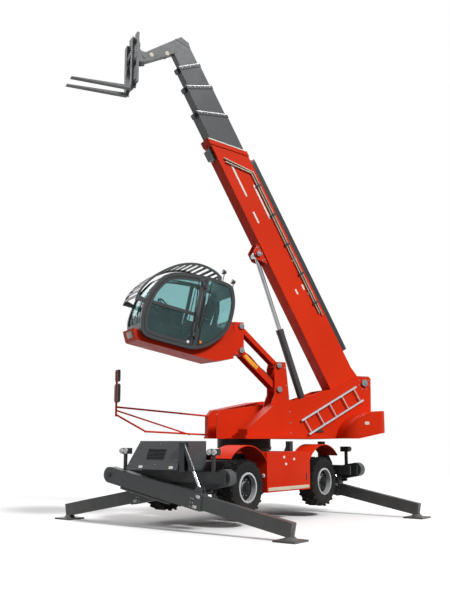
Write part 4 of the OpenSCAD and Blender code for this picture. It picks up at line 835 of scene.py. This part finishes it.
# lamps front and back: lenses with bright bezels
podKit = {"x": 2.7202, "across": (1.14, 1.27), "z": 1.545,
          "lens": ((0, 0), (0.044, 0), (0.045, 0.012), (0.03, 0.02), (0, 0.023)),
          "bezel": ((0.0445, 0), (0.058, 0), (0.06, 0.012), (0.056, 0.022), (0.048, 0.022), (0.045, 0.014))}
podSpots = [(podKit["x"], side * y, podKit["z"]) for side in (-1, 1) for y in podKit["across"]]
lampLens = turnedShape(podKit["lens"], 24)
makePiece("lampLenses", onBothEnds(lampLens, podSpots, chassisAt), "clearLens", "chassis")
bezels = onBothEnds(turnedShape(podKit["bezel"], 24), podSpots, chassisAt)
makePiece("lampBezels", [(bezel[0], True, True) for bezel in bezels], "lampBezel", "chassis")

# nose: reflectors and bolts on its sloping plate, bars in the grille opening
noseKit = {"foot": (2.97, 0, 1.185), "up": (-0.381, 0, 0.925), "out": (0.925, 0, 0.381), "proud": 0.0003,
           "patch": (0.11, 0.055, 0.006), "patches": ((-0.49, 0.05), (0.34, 0.05)),
           "bolts": ((-0.8, 0.1), (-0.66, 0.55), (0.44, 0.55), (0.44, 0.2), (-0.1, 0.55), (-0.1, 0.1)),
           "bar": (0.52, 0.018, 0.02), "barY": -0.15, "bars": (0.22, 0.43, 8), "barOut": -0.03,
           "post": (0.018, 0.24, 0.02), "postRise": 0.325, "posts": (-0.36, 0.06, 5), "postOut": -0.045}
noseFoot, noseUp, noseOut = (np.array(noseKit[key]) for key in ("foot", "up", "out"))


# shape on the nose's sloping plate: places across and up the slope, and how far out of it
def onNose(grid, spots, out=noseKit["proud"]):
    points = [noseFoot + noseUp * rise + noseOut * out + np.array([0, y, 0]) for y, rise in spots]
    return placed(grid, points, sideways, noseUp, chassisAt)


nosePatch = slab(*noseKit["patch"], power=6)
makePiece("noseReflectors", onNose(nosePatch, noseKit["patches"]), "reflector", "chassis")
makePiece("noseBolts", onNose(boltShape, noseKit["bolts"]), "boltSteel", "chassis")
barSpots = [(noseKit["barY"], rise) for rise in np.linspace(*noseKit["bars"])]
postSpots = [(y, noseKit["postRise"]) for y in np.linspace(*noseKit["posts"])]
bar, post = (slab(*noseKit[key], power=6, edge=0.3) for key in ("bar", "post"))
makePiece("noseGrille", onNose(bar, barSpots, noseKit["barOut"])
          + onNose(post, postSpots, noseKit["postOut"]), "ramBlack", "chassis")
print("chassis trimmed")

# legs: reflectors, bolts at the mouth of each box, a black guard tube under it
legKit = {"planes": (2.85, 2.5), "hinge": (1.4, 1.045), "fall": math.degrees(math.atan2(0.835, 4.5)),
          "patch": (0.1, 0.06, 0.005), "outPatches": ((0.1003, 2.47, 0.1), (0.1003, 2.42, -0.105)),
          "inPatches": ((-0.1003, 2.47, 0.1),), "boltSide": 0.1002, "boltRows": (2.3, 2.36),
          "boltLevels": (-0.12, -0.04, 0.04), "guardThick": 0.033,
          "guard": ((0.05, 0.36, -0.195), (0.05, 0.8, -0.199), (0.05, 1.3, -0.199), (0.05, 1.74, -0.195))}


# place in one leg's own frame: across it, along it from the hinge, and up
def legAt(front, left):
    plane = legKit["planes"][0 if front == left else 1]
    flip = np.array([front, front * (1 if front == left else -1), 1])

    def toRow(p):
        q = turned(p, -legKit["fall"], 1, 2) + [plane, -legKit["hinge"][0], legKit["hinge"][1]]
        return chassisAt(q * flip)
    return toRow


cornerSigns = (("fl", 1, 1), ("fr", 1, -1), ("rl", -1, 1), ("rr", -1, -1))
legPatch = slab(*legKit["patch"], power=6)
legBolts = [(legKit["boltSide"], s, n) for s in legKit["boltRows"] for n in legKit["boltLevels"]]
for corner, front, left in cornerSigns:
    toRow = legAt(front, left)
    makePiece(f"legReflectors_{corner}", placed(legPatch, legKit["outPatches"], *frontFace, toRow)
              + placed(legPatch, legKit["inPatches"], *backFace, toRow), "reflector", f"box_{corner}")
    makePiece(f"legBolts_{corner}", onBothEnds(boltShape, legBolts, toRow), "boltSteel", f"box_{corner}")
    guard = hose(legKit["guard"], legKit["guardThick"], toRow, sides=12)
    makePiece(f"legGuard_{corner}", [guard], "ramBlack", f"box_{corner}")
print("legs trimmed")

# wheels: black dish behind the rim and black hub cap, painted shade standing for the deep-set wheel centre in
# shadow, and nuts
wheelKit = {"x": 1.545, "y": 1.022, "z": 0.805, "dishOut": 0.0903, "capOut": 0.1602, "nutOut": 0.1122,
            "nutRing": 0.165, "nuts": 10, "nut": 1.1,
            "dish": ((0.1265, 0), (0.279, 0), (0.279, 0.004), (0.262, 0.014), (0.2, 0.02), (0.15, 0.016),
                     (0.1265, 0.01)),
            "cap": ((0, 0), (0.124, 0), (0.1275, 0.006), (0.12, 0.018), (0.075, 0.026), (0.07, 0.04),
                    (0.03, 0.046), (0, 0.047))}
dish, hubCap = turnedShape(wheelKit["dish"], 48), turnedShape(wheelKit["cap"], 32)
nutTurns = np.arange(wheelKit["nuts"]) * 2 * np.pi / wheelKit["nuts"]
nutRing = wheelKit["nutRing"] * np.stack([np.cos(nutTurns), 0 * nutTurns, np.sin(nutTurns)], -1)
for corner, front, left in cornerSigns:
    face = leftFace if left > 0 else rightFace
    centre = np.array([front * wheelKit["x"], left * wheelKit["y"], wheelKit["z"]])
    out = np.array([0, left, 0])
    dishGrid = setOn(dish, centre + out * wheelKit["dishOut"], *face, chassisAt)
    capGrids = placed(hubCap, [centre + out * wheelKit["capOut"]], *face, chassisAt)
    # dish and hub cap dark as painted shade of the wheel's hollow centre
    makePiece(f"wheelShadeDish_{corner}", [(dishGrid, True, True)] + capGrids, "hubPaintedShade", f"wheel_{corner}")
    nutSpots = centre + out * wheelKit["nutOut"] + nutRing
    makePiece(f"wheelNuts_{corner}", placed(boltShape * wheelKit["nut"], nutSpots, *face, chassisAt),
              "boltSteel", f"wheel_{corner}")
print("wheels trimmed")

bpy.context.view_layer.update()
